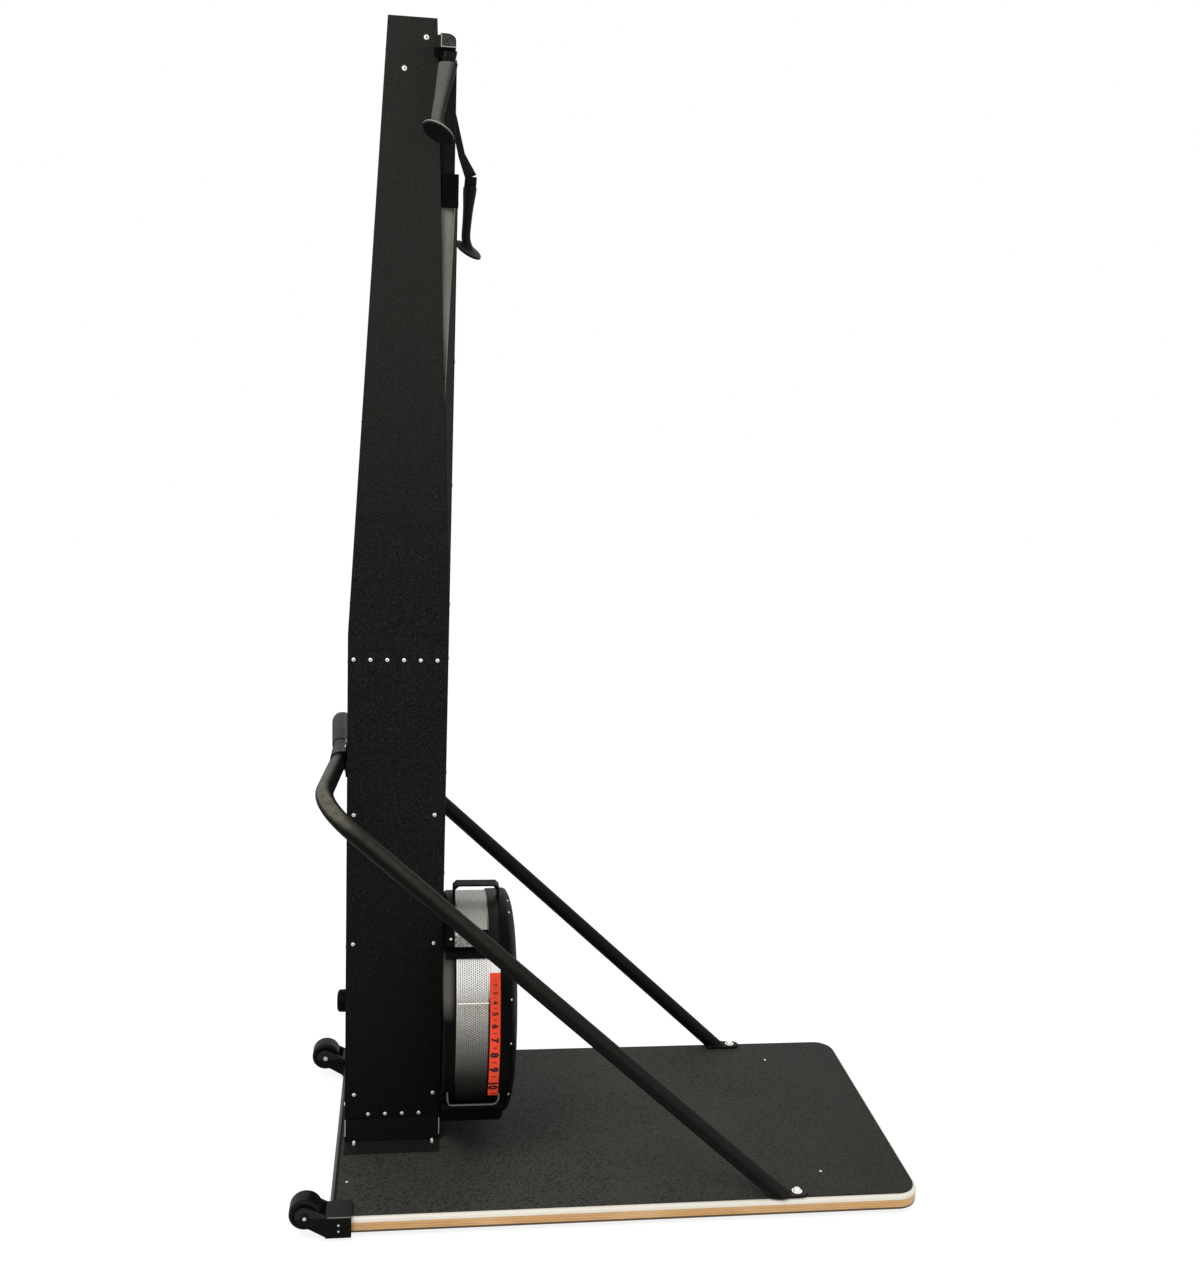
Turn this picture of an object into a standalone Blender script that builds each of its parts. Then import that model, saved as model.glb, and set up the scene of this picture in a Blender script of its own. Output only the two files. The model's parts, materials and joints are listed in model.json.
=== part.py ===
# Standing ski trainer: a wooden platform, a sheet steel tower, an air brake fan on its front,
# two pull handles on straps that run over pulleys in a head at the top, and a tube brace.
# Metres, +Z up. +X points from the tower to the standing user, and -Y is the user's left.
# Inside this file x = 0 is the rear edge of the tower, and the frame empty at the end moves
# everything so that the origin lies at the bottom centre of the whole.

import bpy
import bmesh
from math import cos, pi, radians, sin
from mathutils import Matrix, Vector

# Clearances
FIT = 0.0003            # between touching pieces
SHAFT_FIT = 0.0003      # radial, round a shaft or a pin
STEEL = 0.002           # sheet steel of the tower

# Platform
FOOT_HEIGHT = 0.012
FOOT_RADIUS = 0.020
BOARD_REAR = -0.017
BOARD_FRONT = 1.0955
BOARD_HALF_WIDTH = 0.3035
BOARD_THICKNESS = 0.029
BOARD_CORNER = 0.045
REAR_CORNER = 0.0085
BOARD_EDGE = 0.006       # round along the top edge
MAT_THICKNESS = 0.0026
MAT_MARGIN = 0.0003     # between the mat and the board's round edge
FOOT_INSET = 0.065

# Tower
TOWER_DEPTH = 0.184
TOWER_HALF_WIDTH = 0.0625
TOWER_TOP = 2.13
KINK_HEIGHT = 1.063
TOP_REAR_INSET = 0.060
TOP_FRONT_INSET = 0.0405
ANGLE_LEG_HEIGHT = 0.050
ANGLE_LEG_WIDTH = 0.041
ANGLE_THICKNESS = 0.003
COVER_FLANGE = 0.0185
COVER_FLANGE_TOP = 0.0055
COVER_TAPER_START = 1.446
COVER_DROP = 0.3075
DUCT_HALF_WIDTH = 0.050
DUCT_FRONT = 0.178
DUCT_REAR = 0.140
DUCT_WALL = 0.0015
MAST_REAR = 0.068
MAST_DEPTH = 0.060
MAST_HALF_WIDTH = 0.040
MAST_WALL = 0.003
MAST_DROP = 0.018
BASE_PLATE_THICKNESS = 0.006
BASE_PLATE_MARGIN = 0.022
PEG_DROP = 0.43
PEG_RADIUS = 0.012

# Air brake fan, turning about an axis along X
FAN_HEIGHT = 0.315
SHAFT_RADIUS = 0.010
SHAFT_REAR = -0.007
SHAFT_FRONT = 0.300
BAND_RADIUS = 0.2125
BAND_WALL = 0.002
REAR_SHELL_WIDTH = 0.0233
BAND_WIDTH = 0.062
SCALE_WIDTH = 0.0190
SCALE_RADIUS = 0.2155
SCALE_WALL = 0.004
FRONT_SHELL_WIDTH = 0.0355
FRONT_SHELL_RIM = 0.014
FRONT_SHELL_FLAT = 0.142
FRONT_RIM_PROUD = 0.001
SHELL_WALL = 0.003
SHELL_ROUND = 0.012
SLOT_COUNT = 16
SLOT_WIDTH = 0.009
SLOT_INNER = 0.056
SLOT_OUTER = 0.130
ROTOR_RADIUS = 0.172
ROTOR_WIDTH = 0.050
ROTOR_DISC = 0.003
ROTOR_GAP = 0.012
ROTOR_HUB_RADIUS = 0.032
BLADE_COUNT = 14
BLADE_THICKNESS = 0.003
BEARING_RADIUS = 0.026
BEARING_WIDTH = 0.010
CAP_RADIUS = 0.022
CAP_LENGTH = 0.019
CAP_EDGE = 0.002
CAP_WALL = 0.004
SADDLE_RADIUS = 0.2305
SADDLE_WALL = 0.0125
SADDLE_HALF_ANGLE = radians(55)
SADDLE_FRONT = 0.300
GUARD_RISE = 0.031         # of the carrying handle's top above the band
GUARD_WALL = 0.0035
GUARD_HALF_WIDTH = 0.015
GUARD_CORNER = 0.007
GUARD_REAR = 0.2025
GUARD_FRONT = 0.2935
GUARD_POST = 0.0048
LEVER_ANGLE = radians(53)
LEVER_HALF_ANGLE = radians(8)
LEVER_BAR_HALF_ANGLE = radians(3.4)
LEVER_PLATE = 0.0035
LEVER_REAR = 0.188
LEVER_BAR_RADIUS = 0.229
DRUM_HUB_RADIUS = 0.027
DRUM_FLANGE_RADIUS = 0.035
DRUM_FLANGE = 0.0015
DRUM_WIDTH = 0.017
DRUM_SPACING = 0.0205
LEFT_DRUM_X = 0.149

# Pull straps, pulley head and handles
STRAP_WIDTH = 0.013
STRAP_THICKNESS = 0.0025
STRAP_PLAY = 0.002      # round a strap where it passes through a slot
HEAD_X = 0.161
HEAD_DEPTH = 0.026
HEAD_DROP = 0.0395
HEAD_HEIGHT = 0.0225
HEAD_SHOULDER_DEPTH = 0.016
HEAD_SHOULDER_DROP = 0.010
HEAD_WALL = 0.002
HEAD_HALF_WIDTH = 0.137
HEAD_NECK_HALF_WIDTH = 0.045
HEAD_NECK_STEP = 0.003
HEAD_EAR_REAR = 0.1385     # the ends reach back beside the tower's front edge
HEAD_EAR_GAP = 0.0012
STRAP_ROOM = 0.0033     # between the strap and the top wall of the head
HANDLE_Y = 0.120
PULLEY_RADIUS = 0.0055
PULLEY_WIDTH = 0.0165
PULLEY_PIN_RADIUS = 0.002
STRAP_RUN_Y = 0.0295
LEFT_HANG = 0.0025
RIGHT_HANG = 0.1695
LEFT_HANDLE_X = 0.1655
RIGHT_HANDLE_X = 0.2120
LEFT_HANDLE_LEAN = radians(11)
RIGHT_HANDLE_LEAN = radians(4)
LEFT_STOP_TILT = radians(25)
RIGHT_STOP_TILT = radians(27)
STOP_ROLL = radians(23)
STOP_SHIFT = 0.007
TOP_BLOCK_HALF = 0.0112   # square block that the strap is pinned in
TOP_BLOCK_HEIGHT = 0.0175
GRIP_EASE = 0.030        # the grip takes up its lean over this length
BUNGEE_RADIUS = 0.003
BUNGEE_RISE = 0.015     # straight run above the drums
BUNGEE_SWAY = 0.20      # height over which it draws in to the peg's width
BUNGEE_STRAIGHT = 0.40  # below the peg, in line with the duct
DUCT_ENTRY = 0.05       # the straps are in line this far below the duct

# Console
CONSOLE_GAP = 0.0005
CONSOLE_HEIGHT = 0.056
CONSOLE_REAR = 0.1562
CONSOLE_FRONT = 0.1850
CONSOLE_HALF_WIDTH = 0.0600
BUTTON_RADIUS = 0.006
BUTTON_LENGTH = 0.004
BUTTON_PROUD = 0.0016
BUTTON_SPACING = 0.030
BUTTON_RISE = 0.0120

# Brace
TUBE_RADIUS = 0.016
TUBE_SIDES = 12
CROSSBAR_RADIUS = 0.0138
CROSSBAR_X = -0.0150
CROSSBAR_HEIGHT = 0.8135
LEG_START = 0.072
SPIGOT_LENGTH = 0.055
SOCKET_ROOM = 0.004
LEG_CORNER_X = -0.034
LEG_CORNER_Y = 0.315
LEG_CORNER_HEIGHT = 0.822
LEG_FOOT_X = 0.8137
LEG_FOOT_Y = 0.2915
LEG_FOOT_HEIGHT = 0.050
LEG_BEND = 0.085
TAB_HALF_WIDTH = 0.0140
TAB_THICKNESS = 0.005
TAB_LENGTH = 0.0745
BOLT_X = 0.852
BOLT_Y = 0.2885
BOLT_RADIUS = 0.004
BOLT_HEAD_RADIUS = 0.0075
BOLT_HEAD_HEIGHT = 0.005
BOLT_END_INSET = 0.002
CLAMP_HALF_WIDTH = 0.028
CLAMP_HALF_HEIGHT = 0.032
CLAMP_WALL = 0.004

# Transport wheels on the rear corners
WHEEL_RADIUS = 0.029
WHEEL_X = -0.0576
WHEEL_HEIGHT = 0.052
WHEEL_WIDTH = 0.040
WHEEL_SIDE_PLAY = 0.0006
FORK_WALL = 0.004
FORK_RADIUS = 0.018
BRACKET_FRONT = 0.0245
BRACKET_BOTTOM = 0.009
BRACKET_TOP_THICKNESS = 0.006
BRACKET_SIDE = 0.009
BRACKET_INNER_Y = 0.2615
AXLE_RADIUS = 0.005
AXLE_HEAD_RADIUS = 0.008
AXLE_HEAD = 0.004

# Levels that follow from the sizes above
BOARD_TOP = FOOT_HEIGHT + BOARD_THICKNESS
MAT_TOP = BOARD_TOP + FIT + MAT_THICKNESS
TOWER_BOTTOM = MAT_TOP + FIT
PANEL_INNER = TOWER_HALF_WIDTH - STEEL
COVER_HALF_WIDTH = PANEL_INNER - FIT
FAN_REAR = TOWER_DEPTH + FIT
BAND_REAR = FAN_REAR + REAR_SHELL_WIDTH + FIT
SCALE_REAR = BAND_REAR + BAND_WIDTH + FIT
FRONT_SHELL_REAR = SCALE_REAR + SCALE_WIDTH + FIT
FAN_FRONT = FRONT_SHELL_REAR + FRONT_SHELL_WIDTH
MAST_FRONT = MAST_REAR + MAST_DEPTH
MAST_TOP = TOWER_TOP - MAST_DROP
COVER_TOP = TOWER_TOP - COVER_DROP
PEG_HEIGHT = TOWER_TOP - PEG_DROP
HEAD_TOP = TOWER_TOP - HEAD_DROP
HEAD_BOTTOM = HEAD_TOP - HEAD_HEIGHT
LEFT_HANDLE_TOP = HEAD_BOTTOM - LEFT_HANG
RIGHT_HANDLE_TOP = HEAD_BOTTOM - RIGHT_HANG
CONSOLE_BOTTOM = COVER_TOP + CONSOLE_GAP
CONSOLE_TOP = CONSOLE_BOTTOM + CONSOLE_HEIGHT
BUTTON_HEIGHT = CONSOLE_BOTTOM + BUTTON_RISE
LEFT = -1
RIGHT = 1

for old in list(bpy.data.objects):
    bpy.data.objects.remove(old)

frame = bpy.data.objects.new("frame", None)
bpy.context.scene.collection.objects.link(frame)


def material(name, colour, roughness, metallic=0.0):
    """A plain Principled material, made once for each name."""
    if name in bpy.data.materials:
        return bpy.data.materials[name]
    made = bpy.data.materials.new(name)
    made.use_nodes = True
    shader = made.node_tree.nodes["Principled BSDF"]
    shader.inputs["Base Color"].default_value = (*colour, 1.0)
    shader.inputs["Roughness"].default_value = roughness
    shader.inputs["Metallic"].default_value = metallic
    return made


def powder_coat():
    return material("black_powder_coat", (0.022, 0.022, 0.023), 0.55)


def black_plastic():
    return material("black_plastic", (0.018, 0.018, 0.019), 0.45)


def rubber():
    return material("black_rubber", (0.02, 0.02, 0.02), 0.85)


def bright_steel():
    return material("bright_steel", (0.55, 0.55, 0.56), 0.35, 1.0)


def brushed_alloy():
    return material("brushed_alloy", (0.62, 0.62, 0.60), 0.4, 0.9)


def webbing():
    return material("black_webbing", (0.015, 0.015, 0.015), 0.9)


def mesh_object(name, shape, finish, smooth=True):
    """Turns a bmesh into a named object that hangs under the frame."""
    bmesh.ops.recalc_face_normals(shape, faces=shape.faces)
    mesh = bpy.data.meshes.new(name)
    shape.to_mesh(mesh)
    shape.free()
    made = bpy.data.objects.new(name, mesh)
    bpy.context.scene.collection.objects.link(made)
    made.parent = frame
    mesh.materials.append(finish)
    if smooth:
        mesh.shade_smooth()
        mesh.set_sharp_from_angle(angle=radians(35))
    return made


def pivot(made, point):
    """Puts the object's origin on a point, such as a place on its joint's axis."""
    made.data.transform(Matrix.Translation(-Vector(point)))
    made.location = Vector(point)
    return made


def box(name, low, high, finish):
    """A block between two corners."""
    shape = bmesh.new()
    bmesh.ops.create_cube(shape, size=1.0)
    size = [h - l for l, h in zip(low, high)]
    centre = [(h + l) / 2 for l, h in zip(low, high)]
    bmesh.ops.scale(shape, vec=size, verts=shape.verts)
    bmesh.ops.translate(shape, vec=centre, verts=shape.verts)
    return mesh_object(name, shape, finish, smooth=False)


def prism(name, outline, axis, start, end, finish, smooth=True):
    """A closed outline, extruded along X, Y or Z. The outline gives the other two coordinates."""
    place = {"X": lambda a, b, s: (s, a, b),
             "Y": lambda a, b, s: (a, s, b),
             "Z": lambda a, b, s: (a, b, s)}[axis]
    shape = bmesh.new()
    first = [shape.verts.new(place(a, b, start)) for a, b in outline]
    last = [shape.verts.new(place(a, b, end)) for a, b in outline]
    shape.faces.new(first)
    shape.faces.new(last)
    for i in range(len(outline)):
        j = (i + 1) % len(outline)
        shape.faces.new((first[i], first[j], last[j], last[i]))
    return mesh_object(name, shape, finish, smooth)


def loft(name, rings, finish, smooth=True):
    """A solid through a list of rings that all have the same number of points."""
    shape = bmesh.new()
    made = [[shape.verts.new(spot) for spot in ring] for ring in rings]
    for low, high in zip(made, made[1:]):
        for k in range(len(low)):
            n = (k + 1) % len(low)
            shape.faces.new((low[k], low[n], high[n], high[k]))
    shape.faces.new(made[0])
    shape.faces.new(made[-1])
    return mesh_object(name, shape, finish, smooth)


def turned(name, profile, axis, centre, finish, steps=48, closed=True):
    """A profile of (place along the axis, radius), turned about an axis along X, Y or Z.
    A closed profile makes a ring. An open one starts and ends on the axis."""
    count = len(profile)
    shape = bmesh.new()
    rings = []
    for along, radius in profile:
        ring = []
        if radius == 0:
            ring = [shape.verts.new(axis_point(axis, centre, along, 0, 0))] * steps
        else:
            for k in range(steps):
                turn = 2 * pi * k / steps
                spot = axis_point(axis, centre, along, radius * cos(turn), radius * sin(turn))
                ring.append(shape.verts.new(spot))
        rings.append(ring)
    for i in range(count if closed else count - 1):
        a, b = rings[i], rings[(i + 1) % count]
        for k in range(steps):
            n = (k + 1) % steps
            corners = list(dict.fromkeys((a[k], a[n], b[n], b[k])))
            shape.faces.new(corners)
    return mesh_object(name, shape, finish)


def axis_point(axis, centre, along, u, v):
    """A point given along and across an axis. The value along is a true coordinate."""
    if axis == "X":
        return (along, centre[1] + u, centre[2] + v)
    if axis == "Y":
        return (centre[0] + u, along, centre[2] + v)
    return (centre[0] + u, centre[1] + v, along)


def cylinder(name, axis, centre, start, end, radius, finish, steps=24):
    """A solid round bar."""
    profile = [(start, 0), (start, radius), (end, radius), (end, 0)]
    return turned(name, profile, axis, centre, finish, steps, closed=False)


def arc(centre, radius, start, end, steps):
    """Points along an arc in a plane."""
    points = []
    for k in range(steps + 1):
        turn = start + (end - start) * k / steps
        points.append((centre[0] + radius * cos(turn), centre[1] + radius * sin(turn)))
    return points


def ring_segment(name, inner, outer, middle, half_angle, start, end, finish, steps=16):
    """A piece of a ring round the fan's axis. Angles count from the left side, upwards."""
    first = pi - (middle - half_angle)
    last = pi - (middle + half_angle)
    outline = arc((0, FAN_HEIGHT), outer, first, last, steps)
    outline += arc((0, FAN_HEIGHT), inner, last, first, steps)
    return prism(name, outline, "X", start, end, finish)


def hide_tool(tool):
    """A cutter or an added form stays in the file as a wire guide."""
    tool.hide_render = True
    tool.display_type = "WIRE"
    tool.hide_set(True)


def shape_with(made, tool, operation):
    """Cuts or joins a tool with an exact Boolean."""
    modifier = made.modifiers.new(operation.lower(), "BOOLEAN")
    modifier.operation = operation
    modifier.solver = "EXACT"
    modifier.object = tool
    hide_tool(tool)
    return made


def cut(made, tool):
    return shape_with(made, tool, "DIFFERENCE")


def join(made, tool):
    return shape_with(made, tool, "UNION")


def side_name(side, word):
    return ("left_" if side == LEFT else "right_") + word


def plate_outline(inset, steps=6):
    """Outline of the board, drawn in by an inset. Its front corners are round, its rear ones small."""
    low_x = BOARD_REAR + inset
    high_x = BOARD_FRONT - inset
    half_width = BOARD_HALF_WIDTH - inset
    corner = BOARD_CORNER - inset
    rear = REAR_CORNER - inset
    points = arc((high_x - corner, half_width - corner), corner, 0, pi / 2, steps)[::-1]
    points += arc((high_x - corner, -half_width + corner), corner, -pi / 2, 0, steps)[::-1]
    points += arc((low_x + rear, -half_width + rear), rear, -pi, -pi / 2, 2)[::-1]
    points += arc((low_x + rear, half_width - rear), rear, pi / 2, pi, 2)[::-1]
    return points


def bolt_hole(side):
    """A cutter for the holes that one brace bolt passes through."""
    spot = (BOLT_X, side * BOLT_Y, 0)
    return cylinder(side_name(side, "bolt_hole"), "Z", spot, 0, MAT_TOP + BOARD_THICKNESS,
                    BOLT_RADIUS + SHAFT_FIT, powder_coat(), 16)


def platform():
    """Plywood board, its non-slip mat and four rubber feet."""
    wood = material("plywood", (0.62, 0.47, 0.30), 0.6)
    rings = [[(x, y, FOOT_HEIGHT) for x, y in plate_outline(0)]]
    for k in range(4):
        turn = pi / 2 * k / 3
        inset = BOARD_EDGE * (1 - cos(turn))
        height = BOARD_TOP - BOARD_EDGE * (1 - sin(turn))
        rings.append([(x, y, height) for x, y in plate_outline(inset)])
    board = loft("base_board", rings, wood)
    mat = prism("base_mat", plate_outline(BOARD_EDGE + MAT_MARGIN), "Z", BOARD_TOP + FIT,
                MAT_TOP, rubber())
    for side in (LEFT, RIGHT):
        hole = bolt_hole(side)
        cut(board, hole)
        cut(mat, hole)
    rows = (("rear", BOARD_REAR + FOOT_INSET), ("front", BOARD_FRONT - FOOT_INSET))
    for row, x in rows:
        for side in (LEFT, RIGHT):
            y = side * (BOARD_HALF_WIDTH - FOOT_INSET)
            cylinder(side_name(side, row + "_foot"), "Z", (x, y, 0), 0,
                     FOOT_HEIGHT - FIT, FOOT_RADIUS, rubber(), 24)


def wheel_corner(side):
    """Corner bracket with a fork, the transport wheel in it and its bolt."""
    outer = BOARD_HALF_WIDTH + FIT + BRACKET_SIDE
    rear_wall = BOARD_REAR - FIT
    rear_outer = rear_wall - FORK_WALL
    top = MAT_TOP + FIT + BRACKET_TOP_THICKNESS
    bottom = BRACKET_BOTTOM
    fork_far = outer - 2 * FORK_WALL - WHEEL_WIDTH - 2 * WHEEL_SIDE_PLAY

    def span(a, b):
        return sorted((side * a, side * b))

    y0, y1 = span(BRACKET_INNER_Y, outer)
    bracket = box(side_name(side, "wheel_bracket"), (rear_outer, y0, MAT_TOP + FIT),
                  (BRACKET_FRONT, y1, top), powder_coat())
    s0, s1 = span(BOARD_HALF_WIDTH + FIT, outer)
    join(bracket, box(side_name(side, "bracket_side"), (rear_outer, s0, bottom),
                      (BRACKET_FRONT, s1, top), powder_coat()))
    join(bracket, box(side_name(side, "bracket_rear"), (rear_outer, y0, bottom),
                      (rear_wall, y1, top), powder_coat()))
    plate = [(rear_wall, bottom), (rear_wall, top)]
    plate += arc((WHEEL_X, WHEEL_HEIGHT), FORK_RADIUS, radians(80), radians(265), 12)
    for word, edge in (("near", outer - FORK_WALL), ("far", fork_far)):
        p0, p1 = span(edge, edge + FORK_WALL)
        join(bracket, prism(side_name(side, "fork_" + word), plate, "Y", p0, p1, powder_coat()))
    centre = (WHEEL_X, 0, WHEEL_HEIGHT)
    h0, h1 = span(fork_far - 0.02, outer + 0.02)
    cut(bracket, cylinder(side_name(side, "fork_hole"), "Y", centre, h0, h1,
                          AXLE_RADIUS + SHAFT_FIT, powder_coat(), 16))

    inner = fork_far + FORK_WALL + WHEEL_SIDE_PLAY
    round_edge = 0.005
    bore = AXLE_RADIUS + SHAFT_FIT
    profile = [(inner, bore), (inner, WHEEL_RADIUS - round_edge),
               (inner + round_edge, WHEEL_RADIUS),
               (inner + WHEEL_WIDTH - round_edge, WHEEL_RADIUS),
               (inner + WHEEL_WIDTH, WHEEL_RADIUS - round_edge), (inner + WHEEL_WIDTH, bore)]
    wheel = turned(side_name(side, "transport_wheel"), [(side * a, r) for a, r in profile],
                   "Y", centre, rubber(), 28)
    pivot(wheel, (WHEEL_X, side * (inner + WHEEL_WIDTH / 2), WHEEL_HEIGHT))

    head = outer + FIT
    nut = fork_far - FIT
    profile = [(head + AXLE_HEAD, 0), (head + AXLE_HEAD, AXLE_HEAD_RADIUS * 0.8),
               (head + AXLE_HEAD / 2, AXLE_HEAD_RADIUS), (head, AXLE_HEAD_RADIUS),
               (head, AXLE_RADIUS), (nut, AXLE_RADIUS), (nut, AXLE_HEAD_RADIUS),
               (nut - AXLE_HEAD, AXLE_HEAD_RADIUS), (nut - AXLE_HEAD, 0)]
    turned(side_name(side, "wheel_bolt"), [(side * a, r) for a, r in profile],
           "Y", centre, bright_steel(), 16, closed=False)


def tower():
    """Mast on its base plate, side panels, base angles, covers and top cap."""
    plate_rear = MAST_REAR - BASE_PLATE_MARGIN
    plate_front = MAST_FRONT + BASE_PLATE_MARGIN
    plate_top = TOWER_BOTTOM + BASE_PLATE_THICKNESS
    box("mast_base_plate", (plate_rear, -COVER_HALF_WIDTH, TOWER_BOTTOM),
        (plate_front, COVER_HALF_WIDTH, plate_top), powder_coat())
    mast_bottom = plate_top + FIT
    grey = material("grey_steel", (0.25, 0.25, 0.25), 0.5, 0.6)
    mast = box("mast", (MAST_REAR, -MAST_HALF_WIDTH, mast_bottom),
               (MAST_FRONT, MAST_HALF_WIDTH, MAST_TOP), grey)
    cut(mast, box("mast_hollow",
                  (MAST_REAR + MAST_WALL, -MAST_HALF_WIDTH + MAST_WALL, mast_bottom - 0.01),
                  (MAST_FRONT - MAST_WALL, MAST_HALF_WIDTH - MAST_WALL, MAST_TOP + 0.01), grey))
    cut(mast, cylinder("mast_shaft_hole", "X", (0, 0, FAN_HEIGHT), MAST_REAR - 0.01,
                       MAST_FRONT + 0.01, SHAFT_RADIUS + 0.004, grey, 24))
    join(mast, cylinder("bungee_peg", "X", (0, 0, PEG_HEIGHT), MAST_FRONT - MAST_WALL / 2,
                        DUCT_REAR + 0.004, PEG_RADIUS, grey, 20))

    for side in (LEFT, RIGHT):
        low, high = sorted((side * PANEL_INNER, side * TOWER_HALF_WIDTH))
        box(side_name(side, "lower_side_panel"), (0, low, TOWER_BOTTOM),
            (TOWER_DEPTH, high, KINK_HEIGHT), powder_coat())
        base = KINK_HEIGHT + FIT
        outline = [(0, base), (TOWER_DEPTH, base), (TOWER_DEPTH - TOP_FRONT_INSET, TOWER_TOP),
                   (TOP_REAR_INSET, TOWER_TOP)]
        prism(side_name(side, "upper_side_panel"), outline, "Y", low, high, powder_coat(), False)
        corner = TOWER_HALF_WIDTH + FIT
        outline = [(side * corner, TOWER_BOTTOM),
                   (side * (corner + ANGLE_LEG_WIDTH), TOWER_BOTTOM),
                   (side * (corner + ANGLE_LEG_WIDTH), TOWER_BOTTOM + ANGLE_THICKNESS),
                   (side * (corner + ANGLE_THICKNESS), TOWER_BOTTOM + ANGLE_THICKNESS),
                   (side * (corner + ANGLE_THICKNESS), TOWER_BOTTOM + ANGLE_LEG_HEIGHT),
                   (side * corner, TOWER_BOTTOM + ANGLE_LEG_HEIGHT)]
        prism(side_name(side, "base_angle"), outline, "X", 0, TOWER_DEPTH, powder_coat(), False)

    lean = TOP_REAR_INSET / (TOWER_TOP - KINK_HEIGHT)
    cap_low = TOWER_TOP - STEEL
    end = cap_low - FIT
    end_x = (end - KINK_HEIGHT) * lean
    outline = [(0, TOWER_BOTTOM), (0, KINK_HEIGHT), (end_x, end), (end_x + STEEL, end),
               (STEEL, KINK_HEIGHT), (STEEL, TOWER_BOTTOM)]
    rear = prism("rear_cover", outline, "Y", -COVER_HALF_WIDTH, COVER_HALF_WIDTH,
                 powder_coat(), False)
    cut(rear, cylinder("rear_cover_hole", "X", (0, 0, FAN_HEIGHT), -0.01, 0.01,
                       SHAFT_RADIUS + 0.003, powder_coat(), 24))
    outline = [(end_x + 0.0005, cap_low), (TOP_REAR_INSET, TOWER_TOP),
               (TOWER_DEPTH - TOP_FRONT_INSET, TOWER_TOP),
               (TOWER_DEPTH - TOP_FRONT_INSET, cap_low)]
    prism("top_cap", outline, "Y", -COVER_HALF_WIDTH, COVER_HALF_WIDTH, powder_coat(), False)

    front = channel("lower_front_cover", TOWER_DEPTH, COVER_HALF_WIDTH, STEEL,
                    [(TOWER_DEPTH - COVER_FLANGE, TOWER_BOTTOM),
                     (TOWER_DEPTH - COVER_FLANGE, KINK_HEIGHT)], powder_coat())
    cut(front, cylinder("front_cover_hole", "X", (0, 0, FAN_HEIGHT), TOWER_DEPTH - 0.01,
                        TOWER_DEPTH + 0.01, SHAFT_RADIUS + 0.004, powder_coat(), 24))
    channel("upper_front_cover", TOWER_DEPTH, COVER_HALF_WIDTH, STEEL,
            [(TOWER_DEPTH - COVER_FLANGE, KINK_HEIGHT + FIT),
             (TOWER_DEPTH - COVER_FLANGE, COVER_TAPER_START),
             (TOWER_DEPTH - COVER_FLANGE_TOP, COVER_TOP)], powder_coat())
    channel("strap_duct", DUCT_FRONT, DUCT_HALF_WIDTH, DUCT_WALL,
            [(DUCT_REAR, KINK_HEIGHT + FIT), (DUCT_REAR, HEAD_BOTTOM - FIT)],
            material("grey_sheet", (0.30, 0.30, 0.29), 0.5, 0.4))


def channel(name, front, half_width, wall, rear_edge, finish):
    """A U channel that is open to the rear. rear_edge runs up the back of its flanges."""
    outline = [(front, rear_edge[0][1])] + rear_edge + [(front, rear_edge[-1][1])]
    made = prism(name, outline, "Y", -half_width, half_width, finish, False)
    low = rear_edge[0][1] - 0.01
    high = rear_edge[-1][1] + 0.01
    return cut(made, box(name + "_hollow", (min(x for x, z in rear_edge) - 0.01,
                                            -half_width + wall, low),
                         (front - wall, half_width - wall, high), finish))


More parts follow.
